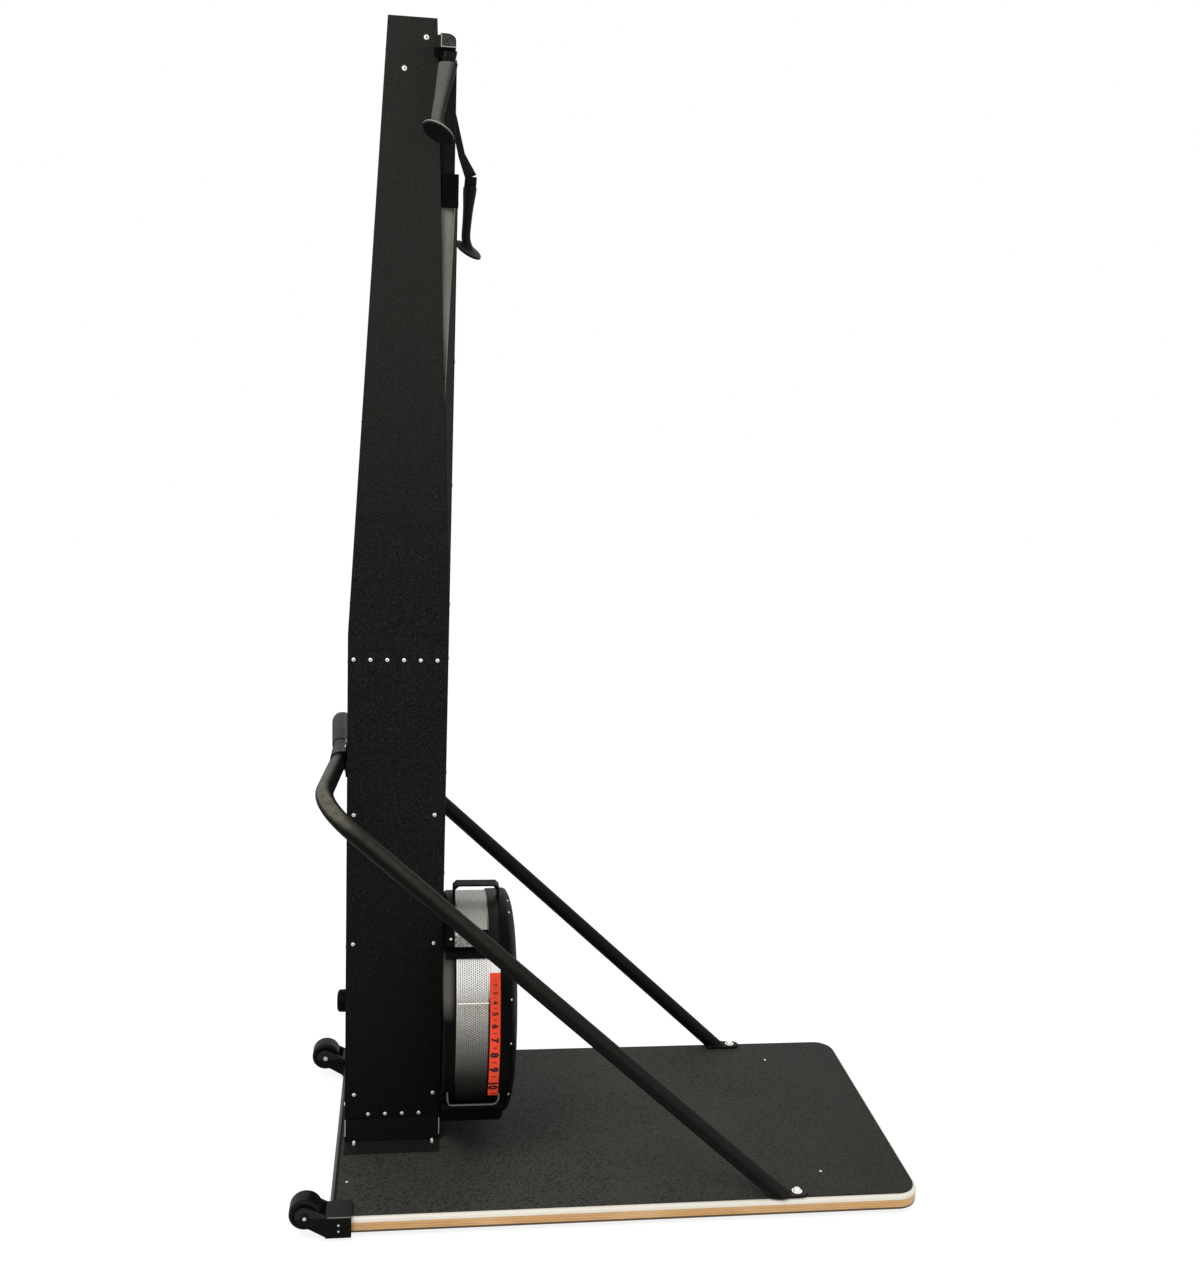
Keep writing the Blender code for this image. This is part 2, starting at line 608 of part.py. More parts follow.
def fan():
    """Case, damper, wheel, shaft, bearings and drums, all round one axis along X."""
    centre = (0, 0, FAN_HEIGHT)
    hole = SHAFT_RADIUS + 0.006

    def shell(name, outer, back):
        inner = [(x + back * SHELL_WALL, r - SHELL_WALL) for x, r in outer[1:-1]]
        lip = (outer[0][0], outer[0][1] - SHELL_WALL)
        inside = (outer[-1][0] + back * SHELL_WALL, outer[-1][1])
        profile = [inside] + inner[::-1] + [lip] + outer
        return turned(name, profile, "X", centre, black_plastic(), 40, closed=outer[-1][1] > 0)

    rear_lip = FAN_REAR + REAR_SHELL_WIDTH
    rear_profile = [(rear_lip, BAND_RADIUS), (FAN_REAR + SHELL_ROUND, BAND_RADIUS),
                    (FAN_REAR + SHELL_ROUND * 0.3, BAND_RADIUS - SHELL_ROUND * 0.3),
                    (FAN_REAR, BAND_RADIUS - SHELL_ROUND), (FAN_REAR, hole)]
    shell("fan_rear_shell", rear_profile, 1)
    rim = SCALE_RADIUS + FRONT_RIM_PROUD
    front_profile = [(FRONT_SHELL_REAR, rim)]
    dome = FRONT_SHELL_WIDTH - FRONT_SHELL_RIM
    for k in range(7):
        turn = pi / 2 * k / 6
        front_profile.append((FRONT_SHELL_REAR + FRONT_SHELL_RIM + dome * sin(turn),
                              FRONT_SHELL_FLAT + (rim - FRONT_SHELL_FLAT) * cos(turn)))
    front_profile.append((FAN_FRONT, 0))
    cut(shell("fan_front_shell", front_profile, -1), intake_slots())

    band = [(BAND_REAR, BAND_RADIUS - BAND_WALL), (BAND_REAR, BAND_RADIUS),
            (BAND_REAR + BAND_WIDTH, BAND_RADIUS),
            (BAND_REAR + BAND_WIDTH, BAND_RADIUS - BAND_WALL)]
    turned("fan_band", band, "X", centre, brushed_alloy(), 48)
    scale = [(SCALE_REAR, SCALE_RADIUS - SCALE_WALL), (SCALE_REAR, SCALE_RADIUS),
             (SCALE_REAR + SCALE_WIDTH, SCALE_RADIUS),
             (SCALE_REAR + SCALE_WIDTH, SCALE_RADIUS - SCALE_WALL)]
    turned("damper_scale", scale, "X", centre, material("red_scale", (0.75, 0.06, 0.03), 0.5), 48)

    lever_low = BAND_RADIUS + FIT * 2
    lever_x = (LEVER_REAR, BAND_REAR + BAND_WIDTH - 0.001)
    lever = ring_segment("damper_lever", lever_low, lever_low + LEVER_PLATE, LEVER_ANGLE,
                         LEVER_HALF_ANGLE, lever_x[0], lever_x[1], black_plastic(), 8)
    join(lever, ring_segment("damper_grip", lever_low + LEVER_PLATE / 2, LEVER_BAR_RADIUS,
                             LEVER_ANGLE, LEVER_BAR_HALF_ANGLE, lever_x[0] + 0.001,
                             lever_x[1] - 0.001, black_plastic(), 4))
    pivot(lever, centre)

    ring_segment("fan_lower_saddle", SADDLE_RADIUS - SADDLE_WALL, SADDLE_RADIUS, radians(-90),
                 SADDLE_HALF_ANGLE, FAN_REAR, SADDLE_FRONT, black_plastic(), 24)
    prism("fan_top_guard", guard_outline(rim), "Y", -GUARD_HALF_WIDTH, GUARD_HALF_WIDTH,
          black_plastic(), False)

    rotor()
    pivot(cylinder("fan_shaft", "X", centre, SHAFT_REAR, SHAFT_FRONT, SHAFT_RADIUS,
                   bright_steel()), centre)
    bore = SHAFT_RADIUS + SHAFT_FIT
    for name, start in (("rear_bearing", MAST_REAR - FIT - BEARING_WIDTH),
                        ("front_bearing", MAST_FRONT + FIT)):
        end = start + BEARING_WIDTH
        turned(name, [(start, bore), (start, BEARING_RADIUS), (end, BEARING_RADIUS),
                      (end, bore)], "X", centre, bright_steel(), 24)
    cap = [(-CAP_LENGTH + CAP_WALL, 0), (-CAP_LENGTH + CAP_WALL, CAP_RADIUS - CAP_WALL),
           (-FIT, CAP_RADIUS - CAP_WALL), (-FIT, CAP_RADIUS), (-CAP_LENGTH + CAP_EDGE, CAP_RADIUS),
           (-CAP_LENGTH, CAP_RADIUS - CAP_EDGE), (-CAP_LENGTH, 0)]
    turned("axle_cap", cap, "X", centre, black_plastic(), 24, closed=False)

    for side in (LEFT, RIGHT):
        middle = drum_x(side)
        start = middle - DRUM_WIDTH / 2
        end = middle + DRUM_WIDTH / 2
        profile = [(start, bore), (start, DRUM_FLANGE_RADIUS),
                   (start + DRUM_FLANGE, DRUM_FLANGE_RADIUS),
                   (start + DRUM_FLANGE, DRUM_HUB_RADIUS), (end - DRUM_FLANGE, DRUM_HUB_RADIUS),
                   (end - DRUM_FLANGE, DRUM_FLANGE_RADIUS), (end, DRUM_FLANGE_RADIUS),
                   (end, bore)]
        pivot(turned(side_name(side, "strap_drum"), profile, "X", centre, brushed_alloy(), 24),
              (middle, 0, FAN_HEIGHT))


def guard_outline(rim):
    """Side view of the carrying handle: a flat strap with one foot on each half of the case."""
    top = FAN_HEIGHT + BAND_RADIUS + GUARD_RISE
    rear_foot = FAN_HEIGHT + BAND_RADIUS + FIT
    front_foot = FAN_HEIGHT + rim + FIT
    under = top - GUARD_WALL
    rear_inside = GUARD_REAR + GUARD_POST
    front_inside = GUARD_FRONT - GUARD_POST
    return [(GUARD_REAR, rear_foot), (rear_inside, rear_foot),
            (rear_inside, under - GUARD_CORNER), (rear_inside + GUARD_CORNER, under),
            (front_inside - GUARD_CORNER, under), (front_inside, under - GUARD_CORNER),
            (front_inside, front_foot), (GUARD_FRONT, front_foot),
            (GUARD_FRONT, top - GUARD_CORNER), (GUARD_FRONT - GUARD_CORNER, top),
            (GUARD_REAR + GUARD_CORNER, top), (GUARD_REAR, top - GUARD_CORNER)]


def intake_slots():
    """A ring of radial bars that cut the air intake into the front of the case."""
    shape = bmesh.new()
    for k in range(SLOT_COUNT):
        made = bmesh.ops.create_cube(shape, size=1.0)["verts"]
        bmesh.ops.scale(shape, vec=(SHELL_WALL * 4, SLOT_WIDTH, SLOT_OUTER - SLOT_INNER), verts=made)
        bmesh.ops.translate(shape, vec=(FAN_FRONT, 0, (SLOT_OUTER + SLOT_INNER) / 2), verts=made)
        bmesh.ops.rotate(shape, cent=(0, 0, 0), verts=made,
                         matrix=Matrix.Rotation(2 * pi * k / SLOT_COUNT, 3, "X"))
    bmesh.ops.translate(shape, vec=(0, 0, FAN_HEIGHT), verts=shape.verts)
    return mesh_object("intake_slots", shape, black_plastic(), smooth=False)


def drum_x(side):
    return LEFT_DRUM_X + (DRUM_SPACING if side == RIGHT else 0)


def rotor():
    """Fan wheel: a disc with a hub and straight radial blades."""
    alloy = material("cast_alloy", (0.45, 0.45, 0.45), 0.5, 0.7)
    start = BAND_REAR + ROTOR_GAP
    outline = []
    half = BLADE_THICKNESS / 2
    for k in range(BLADE_COUNT):
        turn = 2 * pi * k / BLADE_COUNT
        root = (ROTOR_HUB_RADIUS ** 2 - half ** 2) ** 0.5
        for along, across in ((root, -half), (ROTOR_RADIUS, -half), (ROTOR_RADIUS, half),
                              (root, half)):
            outline.append((along * cos(turn) - across * sin(turn),
                            FAN_HEIGHT + along * sin(turn) + across * cos(turn)))
        between = turn + pi / BLADE_COUNT
        outline.append((ROTOR_HUB_RADIUS * cos(between),
                        FAN_HEIGHT + ROTOR_HUB_RADIUS * sin(between)))
    wheel = prism("fan_rotor", outline, "X", start, start + ROTOR_WIDTH, alloy)
    join(wheel, cylinder("rotor_disc", "X", (0, 0, FAN_HEIGHT), start - ROTOR_DISC,
                         start + ROTOR_DISC / 2, ROTOR_RADIUS + 0.002, alloy, 48))
    cut(wheel, cylinder("rotor_bore", "X", (0, 0, FAN_HEIGHT), start - 0.02,
                        start + ROTOR_WIDTH + 0.02, SHAFT_RADIUS + SHAFT_FIT, alloy, 24))
    pivot(wheel, (0, 0, FAN_HEIGHT))


def ribbon(name, path, width_x, thickness, finish):
    """A flat strap along a list of (x, y, z). Its width lies along X."""
    rings = []
    for i, point in enumerate(path):
        before = Vector(path[max(i - 1, 0)])
        after = Vector(path[min(i + 1, len(path) - 1)])
        along = (after - before).normalized()
        normal = Vector((1, 0, 0)).cross(along).normalized()
        rings.append([Vector(point) + Vector((a * width_x / 2, 0, 0)) + normal * b * thickness / 2
                      for a, b in ((-1, -1), (1, -1), (1, 1), (-1, 1))])
    return loft(name, rings, finish, smooth=False)


def strap_turn():
    """Radius of a strap's middle line where it lies on a pulley."""
    return PULLEY_RADIUS + FIT + STRAP_THICKNESS / 2


def pulley_height():
    """The straps pass under the top wall of the head, clear of its round shoulder."""
    return HEAD_TOP - HEAD_WALL - STRAP_ROOM - STRAP_THICKNESS / 2 - strap_turn()


def head_outline(inset):
    """The head from its end: flat below and behind, with a round shoulder at the top front."""
    rear = HEAD_X - HEAD_DEPTH / 2 + inset
    front = HEAD_X + HEAD_DEPTH / 2 - inset
    deep = HEAD_SHOULDER_DEPTH - inset / 2
    drop = HEAD_SHOULDER_DROP - inset / 2
    outline = [(rear, HEAD_BOTTOM + inset), (front, HEAD_BOTTOM + inset)]
    for k in range(6):
        turn = pi / 2 * k / 5
        outline.append((front - deep * (1 - cos(turn)), HEAD_TOP - inset - drop * (1 - sin(turn))))
    return outline + [(rear, HEAD_TOP - inset)]


def pull_head():
    """Hollow cross bar at the top front, with two pulleys to each side."""
    rear = HEAD_X - HEAD_DEPTH / 2
    front = HEAD_X + HEAD_DEPTH / 2
    head = prism("pulley_head", head_outline(0), "Y", -HEAD_HALF_WIDTH, HEAD_HALF_WIDTH,
                 powder_coat())
    join(head, box("head_neck", (MAST_FRONT + FIT, -HEAD_NECK_HALF_WIDTH, HEAD_BOTTOM),
                   (rear + HEAD_WALL / 2, HEAD_NECK_HALF_WIDTH, HEAD_TOP - HEAD_NECK_STEP),
                   powder_coat()))
    for side in (LEFT, RIGHT):
        low, high = sorted((side * (TOWER_HALF_WIDTH + HEAD_EAR_GAP), side * HEAD_HALF_WIDTH))
        join(head, box(side_name(side, "head_ear"), (HEAD_EAR_REAR, low, HEAD_BOTTOM),
                       (rear + HEAD_WALL / 2, high, HEAD_TOP - HEAD_NECK_STEP), powder_coat()))
    cut(head, prism("head_hollow", head_outline(HEAD_WALL), "Y", -HEAD_HALF_WIDTH + HEAD_WALL,
                    HEAD_HALF_WIDTH - HEAD_WALL, powder_coat()))
    slot_x = STRAP_WIDTH / 2 + STRAP_PLAY
    slot_y = STRAP_THICKNESS / 2 + STRAP_PLAY
    height = pulley_height()
    for side in (LEFT, RIGHT):
        for word, y in (("run", STRAP_RUN_Y), ("exit", HANDLE_Y)):
            cut(head, box(side_name(side, word + "_slot"),
                          (HEAD_X - slot_x, side * y - slot_y, HEAD_BOTTOM - 0.01),
                          (HEAD_X + slot_x, side * y + slot_y, HEAD_BOTTOM + 0.006),
                          powder_coat()))
        for word, y in (("inner_pulley", STRAP_RUN_Y + strap_turn()),
                        ("outer_pulley", HANDLE_Y - strap_turn())):
            centre = (0, side * y, height)
            join(head, cylinder(side_name(side, word + "_pin"), "X", centre,
                                rear + HEAD_WALL / 2, front - HEAD_WALL / 2,
                                PULLEY_PIN_RADIUS, powder_coat(), 12))
            start = HEAD_X - PULLEY_WIDTH / 2
            end = HEAD_X + PULLEY_WIDTH / 2
            bore = PULLEY_PIN_RADIUS + SHAFT_FIT
            rim = PULLEY_RADIUS
            profile = [(start, bore), (start, rim), (end, rim), (end, bore)]
            pivot(turned(side_name(side, word), profile, "X", centre, brushed_alloy(), 24),
                  (HEAD_X, side * y, height))


def straps():
    """Inner straps from the drums over the pulleys, and the drops down to the handles."""
    turn = strap_turn()
    height = pulley_height()
    leave = DRUM_HUB_RADIUS + FIT + STRAP_THICKNESS / 2
    for side in (LEFT, RIGHT):
        path = [(drum_x(side), side * leave, FAN_HEIGHT),
                (drum_x(side), side * leave, FAN_HEIGHT + DRUM_FLANGE_RADIUS),
                (HEAD_X, side * STRAP_RUN_Y, KINK_HEIGHT - DUCT_ENTRY),
                (HEAD_X, side * STRAP_RUN_Y, height)]
        inner = STRAP_RUN_Y + turn
        outer = HANDLE_Y - turn
        steps = 6
        for k in range(1, steps + 1):
            a = pi / 2 * k / steps
            path.append((HEAD_X, side * (inner - turn * cos(a)), height + turn * sin(a)))
        for k in range(steps + 1):
            a = pi / 2 * k / steps
            path.append((HEAD_X, side * (outer + turn * sin(a)), height + turn * cos(a)))
        path.append((HEAD_X, side * HANDLE_Y, HEAD_BOTTOM))
        ribbon(side_name(side, "inner_strap"), path, STRAP_WIDTH, STRAP_THICKNESS, webbing())

        top = HEAD_BOTTOM - FIT
        end_x = LEFT_HANDLE_X if side == LEFT else RIGHT_HANDLE_X
        end_z = (LEFT_HANDLE_TOP if side == LEFT else RIGHT_HANDLE_TOP) + FIT
        low, high = sorted((side * HANDLE_Y - STRAP_THICKNESS / 2,
                            side * HANDLE_Y + STRAP_THICKNESS / 2))
        half = STRAP_WIDTH / 2
        outline = [(HEAD_X - half, top), (HEAD_X + half, top), (end_x + half, end_z),
                   (end_x - half, end_z)]
        drop = prism(side_name(side, "handle_strap"), outline, "Y", low, high, webbing(), False)
        pivot(drop, (HEAD_X, side * HANDLE_Y, top))

    drum = DRUM_HUB_RADIUS + FIT + BUNGEE_RADIUS
    crown = PEG_RADIUS + FIT + BUNGEE_RADIUS
    bungee_x = DUCT_REAR - BUNGEE_RADIUS - 0.0015
    clear = FAN_HEIGHT + DRUM_FLANGE_RADIUS + BUNGEE_RISE
    straight = PEG_HEIGHT - BUNGEE_STRAIGHT
    path = [(drum_x(LEFT), drum, FAN_HEIGHT), (drum_x(LEFT), drum, clear),
            (drum_x(LEFT), crown, clear + BUNGEE_SWAY), (bungee_x, crown, straight)]
    for k in range(13):
        a = pi * k / 12
        path.append((bungee_x, crown * cos(a), PEG_HEIGHT + crown * sin(a)))
    path += [(bungee_x, -crown, straight), (drum_x(RIGHT), -crown, clear + BUNGEE_SWAY),
             (drum_x(RIGHT), -drum, clear), (drum_x(RIGHT), -drum, FAN_HEIGHT)]
    tube("return_bungee", path, BUNGEE_RADIUS, webbing(), 8)


def tube(name, path, radius, finish, sides):
    """A round tube along a list of points, made as a curve and turned into a mesh."""
    curve = bpy.data.curves.new(name + "_route", "CURVE")
    curve.dimensions = "3D"
    curve.bevel_depth = radius
    curve.bevel_resolution = sides // 2 - 2
    curve.use_fill_caps = True
    spline = curve.splines.new("POLY")
    spline.points.add(len(path) - 1)
    for point, spot in zip(spline.points, path):
        point.co = (*spot, 1.0)
    guide = bpy.data.objects.new(name + "_guide", curve)
    bpy.context.scene.collection.objects.link(guide)
    mesh = bpy.data.meshes.new_from_object(guide.evaluated_get(
        bpy.context.evaluated_depsgraph_get()))
    bpy.data.objects.remove(guide)
    shape = bmesh.new()
    shape.from_mesh(mesh)
    bmesh.ops.remove_doubles(shape, verts=shape.verts, dist=0.00001)
    bpy.data.meshes.remove(mesh)
    return mesh_object(name, shape, finish)


def handle(side):
    """Pull grip: a block for the strap, an oval waisted grip and a tilted oval hand stop. The
    right one hangs a quarter turn round from the left one."""
    top = LEFT_HANDLE_TOP if side == LEFT else RIGHT_HANDLE_TOP
    x = LEFT_HANDLE_X if side == LEFT else RIGHT_HANDLE_X
    lean = LEFT_HANDLE_LEAN if side == LEFT else RIGHT_HANDLE_LEAN
    stop_tilt = LEFT_STOP_TILT if side == LEFT else RIGHT_STOP_TILT
    # distance down the grip, its larger and smaller half width, share of the hand stop's tilt
    sections = ((0.0175, 0.0150, 0.0118, 0.0), (0.0200, 0.0160, 0.0127, 0.0),
                (0.0270, 0.0157, 0.0124, 0.0), (0.0400, 0.0145, 0.0112, 0.0),
                (0.0550, 0.0131, 0.0098, 0.0), (0.0750, 0.0115, 0.0088, 0.0),
                (0.0950, 0.0106, 0.0084, 0.0), (0.1100, 0.0106, 0.0086, 0.1),
                (0.1185, 0.0114, 0.0098, 0.5), (0.1255, 0.0150, 0.0138, 1.0),
                (0.1285, 0.0276, 0.0258, 1.0), (0.1300, 0.0290, 0.0272, 1.0),
                (0.1330, 0.0290, 0.0272, 1.0), (0.1345, 0.0272, 0.0256, 1.0))
    count = 16
    rings = []
    for down, large, small, tilt in sections:
        deep, wide = (large, small) if side == LEFT else (small, large)
        eased = min(1.0, (down - TOP_BLOCK_HEIGHT) / GRIP_EASE)
        slant = lean * eased + (stop_tilt - lean) * tilt
        roll = side * STOP_ROLL * tilt
        ring = []
        for k in range(count):
            turn = 2 * pi * k / count
            u = deep * cos(turn)
            w = wide * sin(turn)
            rise = -u * sin(slant)
            ring.append((u * cos(slant) - down * sin(lean) + STOP_SHIFT * tilt,
                         w * cos(roll) - rise * sin(roll),
                         w * sin(roll) + rise * cos(roll) - down * cos(lean)))
        rings.append(ring)
    grip = loft(side_name(side, "handle"), rings, rubber())
    low = TOP_BLOCK_HEIGHT + 0.001
    half = TOP_BLOCK_HALF
    outline = [(-half, 0), (half, 0), (half - low * sin(lean), -low * cos(lean)),
               (-half - low * sin(lean), -low * cos(lean))]
    join(grip, prism(side_name(side, "strap_block"), outline, "Y", -half, half, rubber(), False))
    for made in (grip, bpy.data.objects[side_name(side, "strap_block")]):
        made.location = (x, side * HANDLE_Y, top)


def console():
    """Monitor that straddles the strap duct, with two push buttons in its face."""
    body = box("console", (CONSOLE_REAR, -CONSOLE_HALF_WIDTH, CONSOLE_BOTTOM),
               (CONSOLE_FRONT, CONSOLE_HALF_WIDTH, CONSOLE_TOP), black_plastic())
    cut(body, box("console_throat", (CONSOLE_REAR - 0.01, -DUCT_HALF_WIDTH - FIT,
                                     CONSOLE_BOTTOM - 0.01),
                  (DUCT_FRONT + FIT, DUCT_HALF_WIDTH + FIT, CONSOLE_TOP + 0.01),
                  black_plastic()))
    keys = material("grey_keys", (0.35, 0.35, 0.36), 0.5)
    for word, side in (("left", LEFT), ("right", RIGHT)):
        centre = (0, side * BUTTON_SPACING / 2, BUTTON_HEIGHT)
        front = CONSOLE_FRONT + BUTTON_PROUD
        back = front - BUTTON_LENGTH
        cut(body, cylinder(word + "_key_hole", "X", centre, back - 0.002, CONSOLE_FRONT + 0.01,
                           BUTTON_RADIUS + SHAFT_FIT, black_plastic(), 24))
        key = cylinder(word + "_console_button", "X", centre, back, front, BUTTON_RADIUS, keys, 24)
        pivot(key, (front, side * BUTTON_SPACING / 2, BUTTON_HEIGHT))


def bar_point(side, along):
    """A point on the crossbar's middle line, which sweeps back a little to each side."""
    middle = Vector((CROSSBAR_X, 0, CROSSBAR_HEIGHT))
    corner = Vector((LEG_CORNER_X, side * LEG_CORNER_Y, LEG_CORNER_HEIGHT))
    return middle + (corner - middle).normalized() * along


def bar_route(reach):
    """Middle line of the crossbar between two points that lie equally far out."""
    return [bar_point(LEFT, reach), bar_point(LEFT, 0), bar_point(RIGHT, reach)]


def leg_route(side):
    """Middle line of a brace leg, from the crossbar out, round the bend and down to the foot."""
    start = bar_point(side, LEG_START + FIT)
    corner = Vector((LEG_CORNER_X, side * LEG_CORNER_Y, LEG_CORNER_HEIGHT))
    foot = Vector((LEG_FOOT_X, side * LEG_FOOT_Y, LEG_FOOT_HEIGHT))
    into = (corner - start).normalized()
    out = (foot - corner).normalized()
    a = corner - into * LEG_BEND
    b = corner + out * LEG_BEND
    route = [start]
    steps = 10
    for k in range(steps + 1):
        t = k / steps
        route.append(a * (1 - t) ** 2 + corner * 2 * t * (1 - t) + b * t ** 2)
    route.append(foot + out * TUBE_RADIUS)
    return route


def brace():
    """Crossbar behind the tower, its saddle clamp, two bent legs and their bolts."""
    tip = LEG_START + SPIGOT_LENGTH
    tube("crossbar", bar_route(tip), CROSSBAR_RADIUS, powder_coat(), TUBE_SIDES)
    bore = (CROSSBAR_RADIUS + FIT) / cos(pi / TUBE_SIDES)
    outer = bore + CLAMP_WALL
    outline = [(-FIT, CROSSBAR_HEIGHT + CLAMP_HALF_HEIGHT),
               (-FIT - CLAMP_WALL, CROSSBAR_HEIGHT + CLAMP_HALF_HEIGHT)]
    outline += [(-FIT - CLAMP_WALL, CROSSBAR_HEIGHT + outer)]
    outline += arc((CROSSBAR_X, CROSSBAR_HEIGHT), outer, pi / 2, 3 * pi / 2, 10)
    outline += [(-FIT - CLAMP_WALL, CROSSBAR_HEIGHT - outer),
                (-FIT - CLAMP_WALL, CROSSBAR_HEIGHT - CLAMP_HALF_HEIGHT),
                (-FIT, CROSSBAR_HEIGHT - CLAMP_HALF_HEIGHT)]
    clamp = prism("crossbar_clamp", outline, "Y", -CLAMP_HALF_WIDTH, CLAMP_HALF_WIDTH,
                  powder_coat())
    cut(clamp, tube("clamp_bore", bar_route(LEG_START), bore, powder_coat(), TUBE_SIDES))
    cut(clamp, box("clamp_mouth", (CROSSBAR_X, -2 * CLAMP_HALF_WIDTH, CROSSBAR_HEIGHT - bore),
                   (CLAMP_WALL, 2 * CLAMP_HALF_WIDTH, CROSSBAR_HEIGHT + bore), powder_coat()))
    for side in (LEFT, RIGHT):
        leg = tube(side_name(side, "brace_leg"), leg_route(side), TUBE_RADIUS, powder_coat(), TUBE_SIDES)
        socket = [bar_point(side, LEG_START - 0.01), bar_point(side, tip + SOCKET_ROOM)]
        cut(leg, tube(side_name(side, "leg_bore"), socket, bore, powder_coat(), TUBE_SIDES))
        tab_rear = LEG_FOOT_X - TUBE_RADIUS
        tab_front = tab_rear + TAB_LENGTH
        y = side * BOLT_Y
        outline = [(tab_rear, y - TAB_HALF_WIDTH)]
        outline += arc((tab_front - TAB_HALF_WIDTH, y), TAB_HALF_WIDTH, -pi / 2, pi / 2, 8)
        outline += [(tab_rear, y + TAB_HALF_WIDTH)]
        tab_low = MAT_TOP + FIT
        tab_high = tab_low + TAB_THICKNESS
        join(leg, prism(side_name(side, "foot_tab"), outline, "Z", tab_low, tab_high,
                        powder_coat()))
        reach = 4 * TUBE_RADIUS
        cut(leg, box(side_name(side, "foot_trim"), (LEG_FOOT_X - reach, y - reach, 0),
                     (LEG_FOOT_X + reach, y + reach, tab_low), powder_coat()))
        cut(leg, cylinder(side_name(side, "tab_hole"), "Z", (BOLT_X, y, 0), tab_low - 0.01,
                          tab_high + 0.01, BOLT_RADIUS + SHAFT_FIT, powder_coat(), 16))
        head_low = tab_high + FIT
        head_top = head_low + BOLT_HEAD_HEIGHT
        end = FOOT_HEIGHT + BOLT_END_INSET
        profile = [(head_top, 0), (head_top, BOLT_HEAD_RADIUS * 0.7),
                   (head_low + BOLT_HEAD_HEIGHT * 0.4, BOLT_HEAD_RADIUS),
                   (head_low, BOLT_HEAD_RADIUS), (head_low, BOLT_RADIUS), (end, BOLT_RADIUS),
                   (end, 0)]
        turned(side_name(side, "brace_bolt"), profile, "Z", (BOLT_X, y, 0), bright_steel(), 16,
               closed=False)


platform()
for hand in (LEFT, RIGHT):
    wheel_corner(hand)
tower()
fan()
pull_head()
straps()
for hand in (LEFT, RIGHT):
    handle(hand)
console()
brace()

frame.location = (-(BOARD_FRONT + WHEEL_X - WHEEL_RADIUS) / 2, 0, 0)
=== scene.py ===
import json
from math import cos, hypot, pi, radians, sin

import bmesh
import bpy
from mathutils import Matrix, Vector

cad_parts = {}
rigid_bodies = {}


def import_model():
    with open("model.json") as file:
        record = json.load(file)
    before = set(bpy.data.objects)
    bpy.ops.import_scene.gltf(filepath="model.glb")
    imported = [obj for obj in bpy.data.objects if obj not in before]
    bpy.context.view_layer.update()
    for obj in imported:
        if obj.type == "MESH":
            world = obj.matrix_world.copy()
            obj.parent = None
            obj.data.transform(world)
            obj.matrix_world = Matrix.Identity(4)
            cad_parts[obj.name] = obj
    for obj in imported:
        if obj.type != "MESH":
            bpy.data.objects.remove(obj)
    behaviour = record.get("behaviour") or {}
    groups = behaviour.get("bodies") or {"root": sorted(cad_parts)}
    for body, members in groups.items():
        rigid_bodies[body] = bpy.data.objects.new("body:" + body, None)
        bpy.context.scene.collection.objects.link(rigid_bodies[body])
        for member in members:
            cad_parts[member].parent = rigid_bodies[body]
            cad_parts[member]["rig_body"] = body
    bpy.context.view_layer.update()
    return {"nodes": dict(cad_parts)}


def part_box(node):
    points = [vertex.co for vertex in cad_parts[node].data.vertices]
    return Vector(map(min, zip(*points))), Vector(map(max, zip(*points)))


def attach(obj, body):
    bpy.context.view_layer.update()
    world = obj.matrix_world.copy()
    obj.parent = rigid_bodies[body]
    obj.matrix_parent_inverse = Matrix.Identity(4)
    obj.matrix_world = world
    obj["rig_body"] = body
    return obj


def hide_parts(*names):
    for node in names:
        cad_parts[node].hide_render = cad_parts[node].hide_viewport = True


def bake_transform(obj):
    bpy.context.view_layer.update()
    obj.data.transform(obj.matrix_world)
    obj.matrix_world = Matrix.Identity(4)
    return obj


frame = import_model()
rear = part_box("rear_cover")[0].x     # the tower's rear edge, which every x below is measured from


# ---------------- camera, floor and light
# A standing person's view of the left side, a white studio floor that runs out into a white
# surround, and soft boxes: the main one high beside the tower, a weak one low and one behind.
def spot(x, y, z):
    return Vector((rear + x, y, z))


scene = bpy.context.scene
scene.view_settings.view_transform = "Standard"
lens = bpy.data.cameras.new("studio_camera")
lens.lens = 38.97656
lens.sensor_width = 36
camera = bpy.data.objects.new("studio_camera", lens)
camera.location = spot(0.1188, -2.5547, 1.5498)
camera.rotation_euler = (radians(79.2943), radians(-2.3181), radians(-7.4606))
scene.collection.objects.link(camera)
scene.camera = camera


class Wiring:
    """A node tree that is written down in Python. node() adds one node to it."""

    def __init__(self, tree):
        self.tree = tree

    def node(self, kind, settings=None, inputs=None, output=0):
        made = self.tree.nodes.new(kind)
        for name, value in (settings or {}).items():
            setattr(made, name, value)
        for key, value in (inputs or {}).items():
            if isinstance(value, Field):
                self.tree.links.new(value.socket, made.inputs[key])
            elif value is not None:
                made.inputs[key].default_value = value
        return Field(self, made.outputs[output])


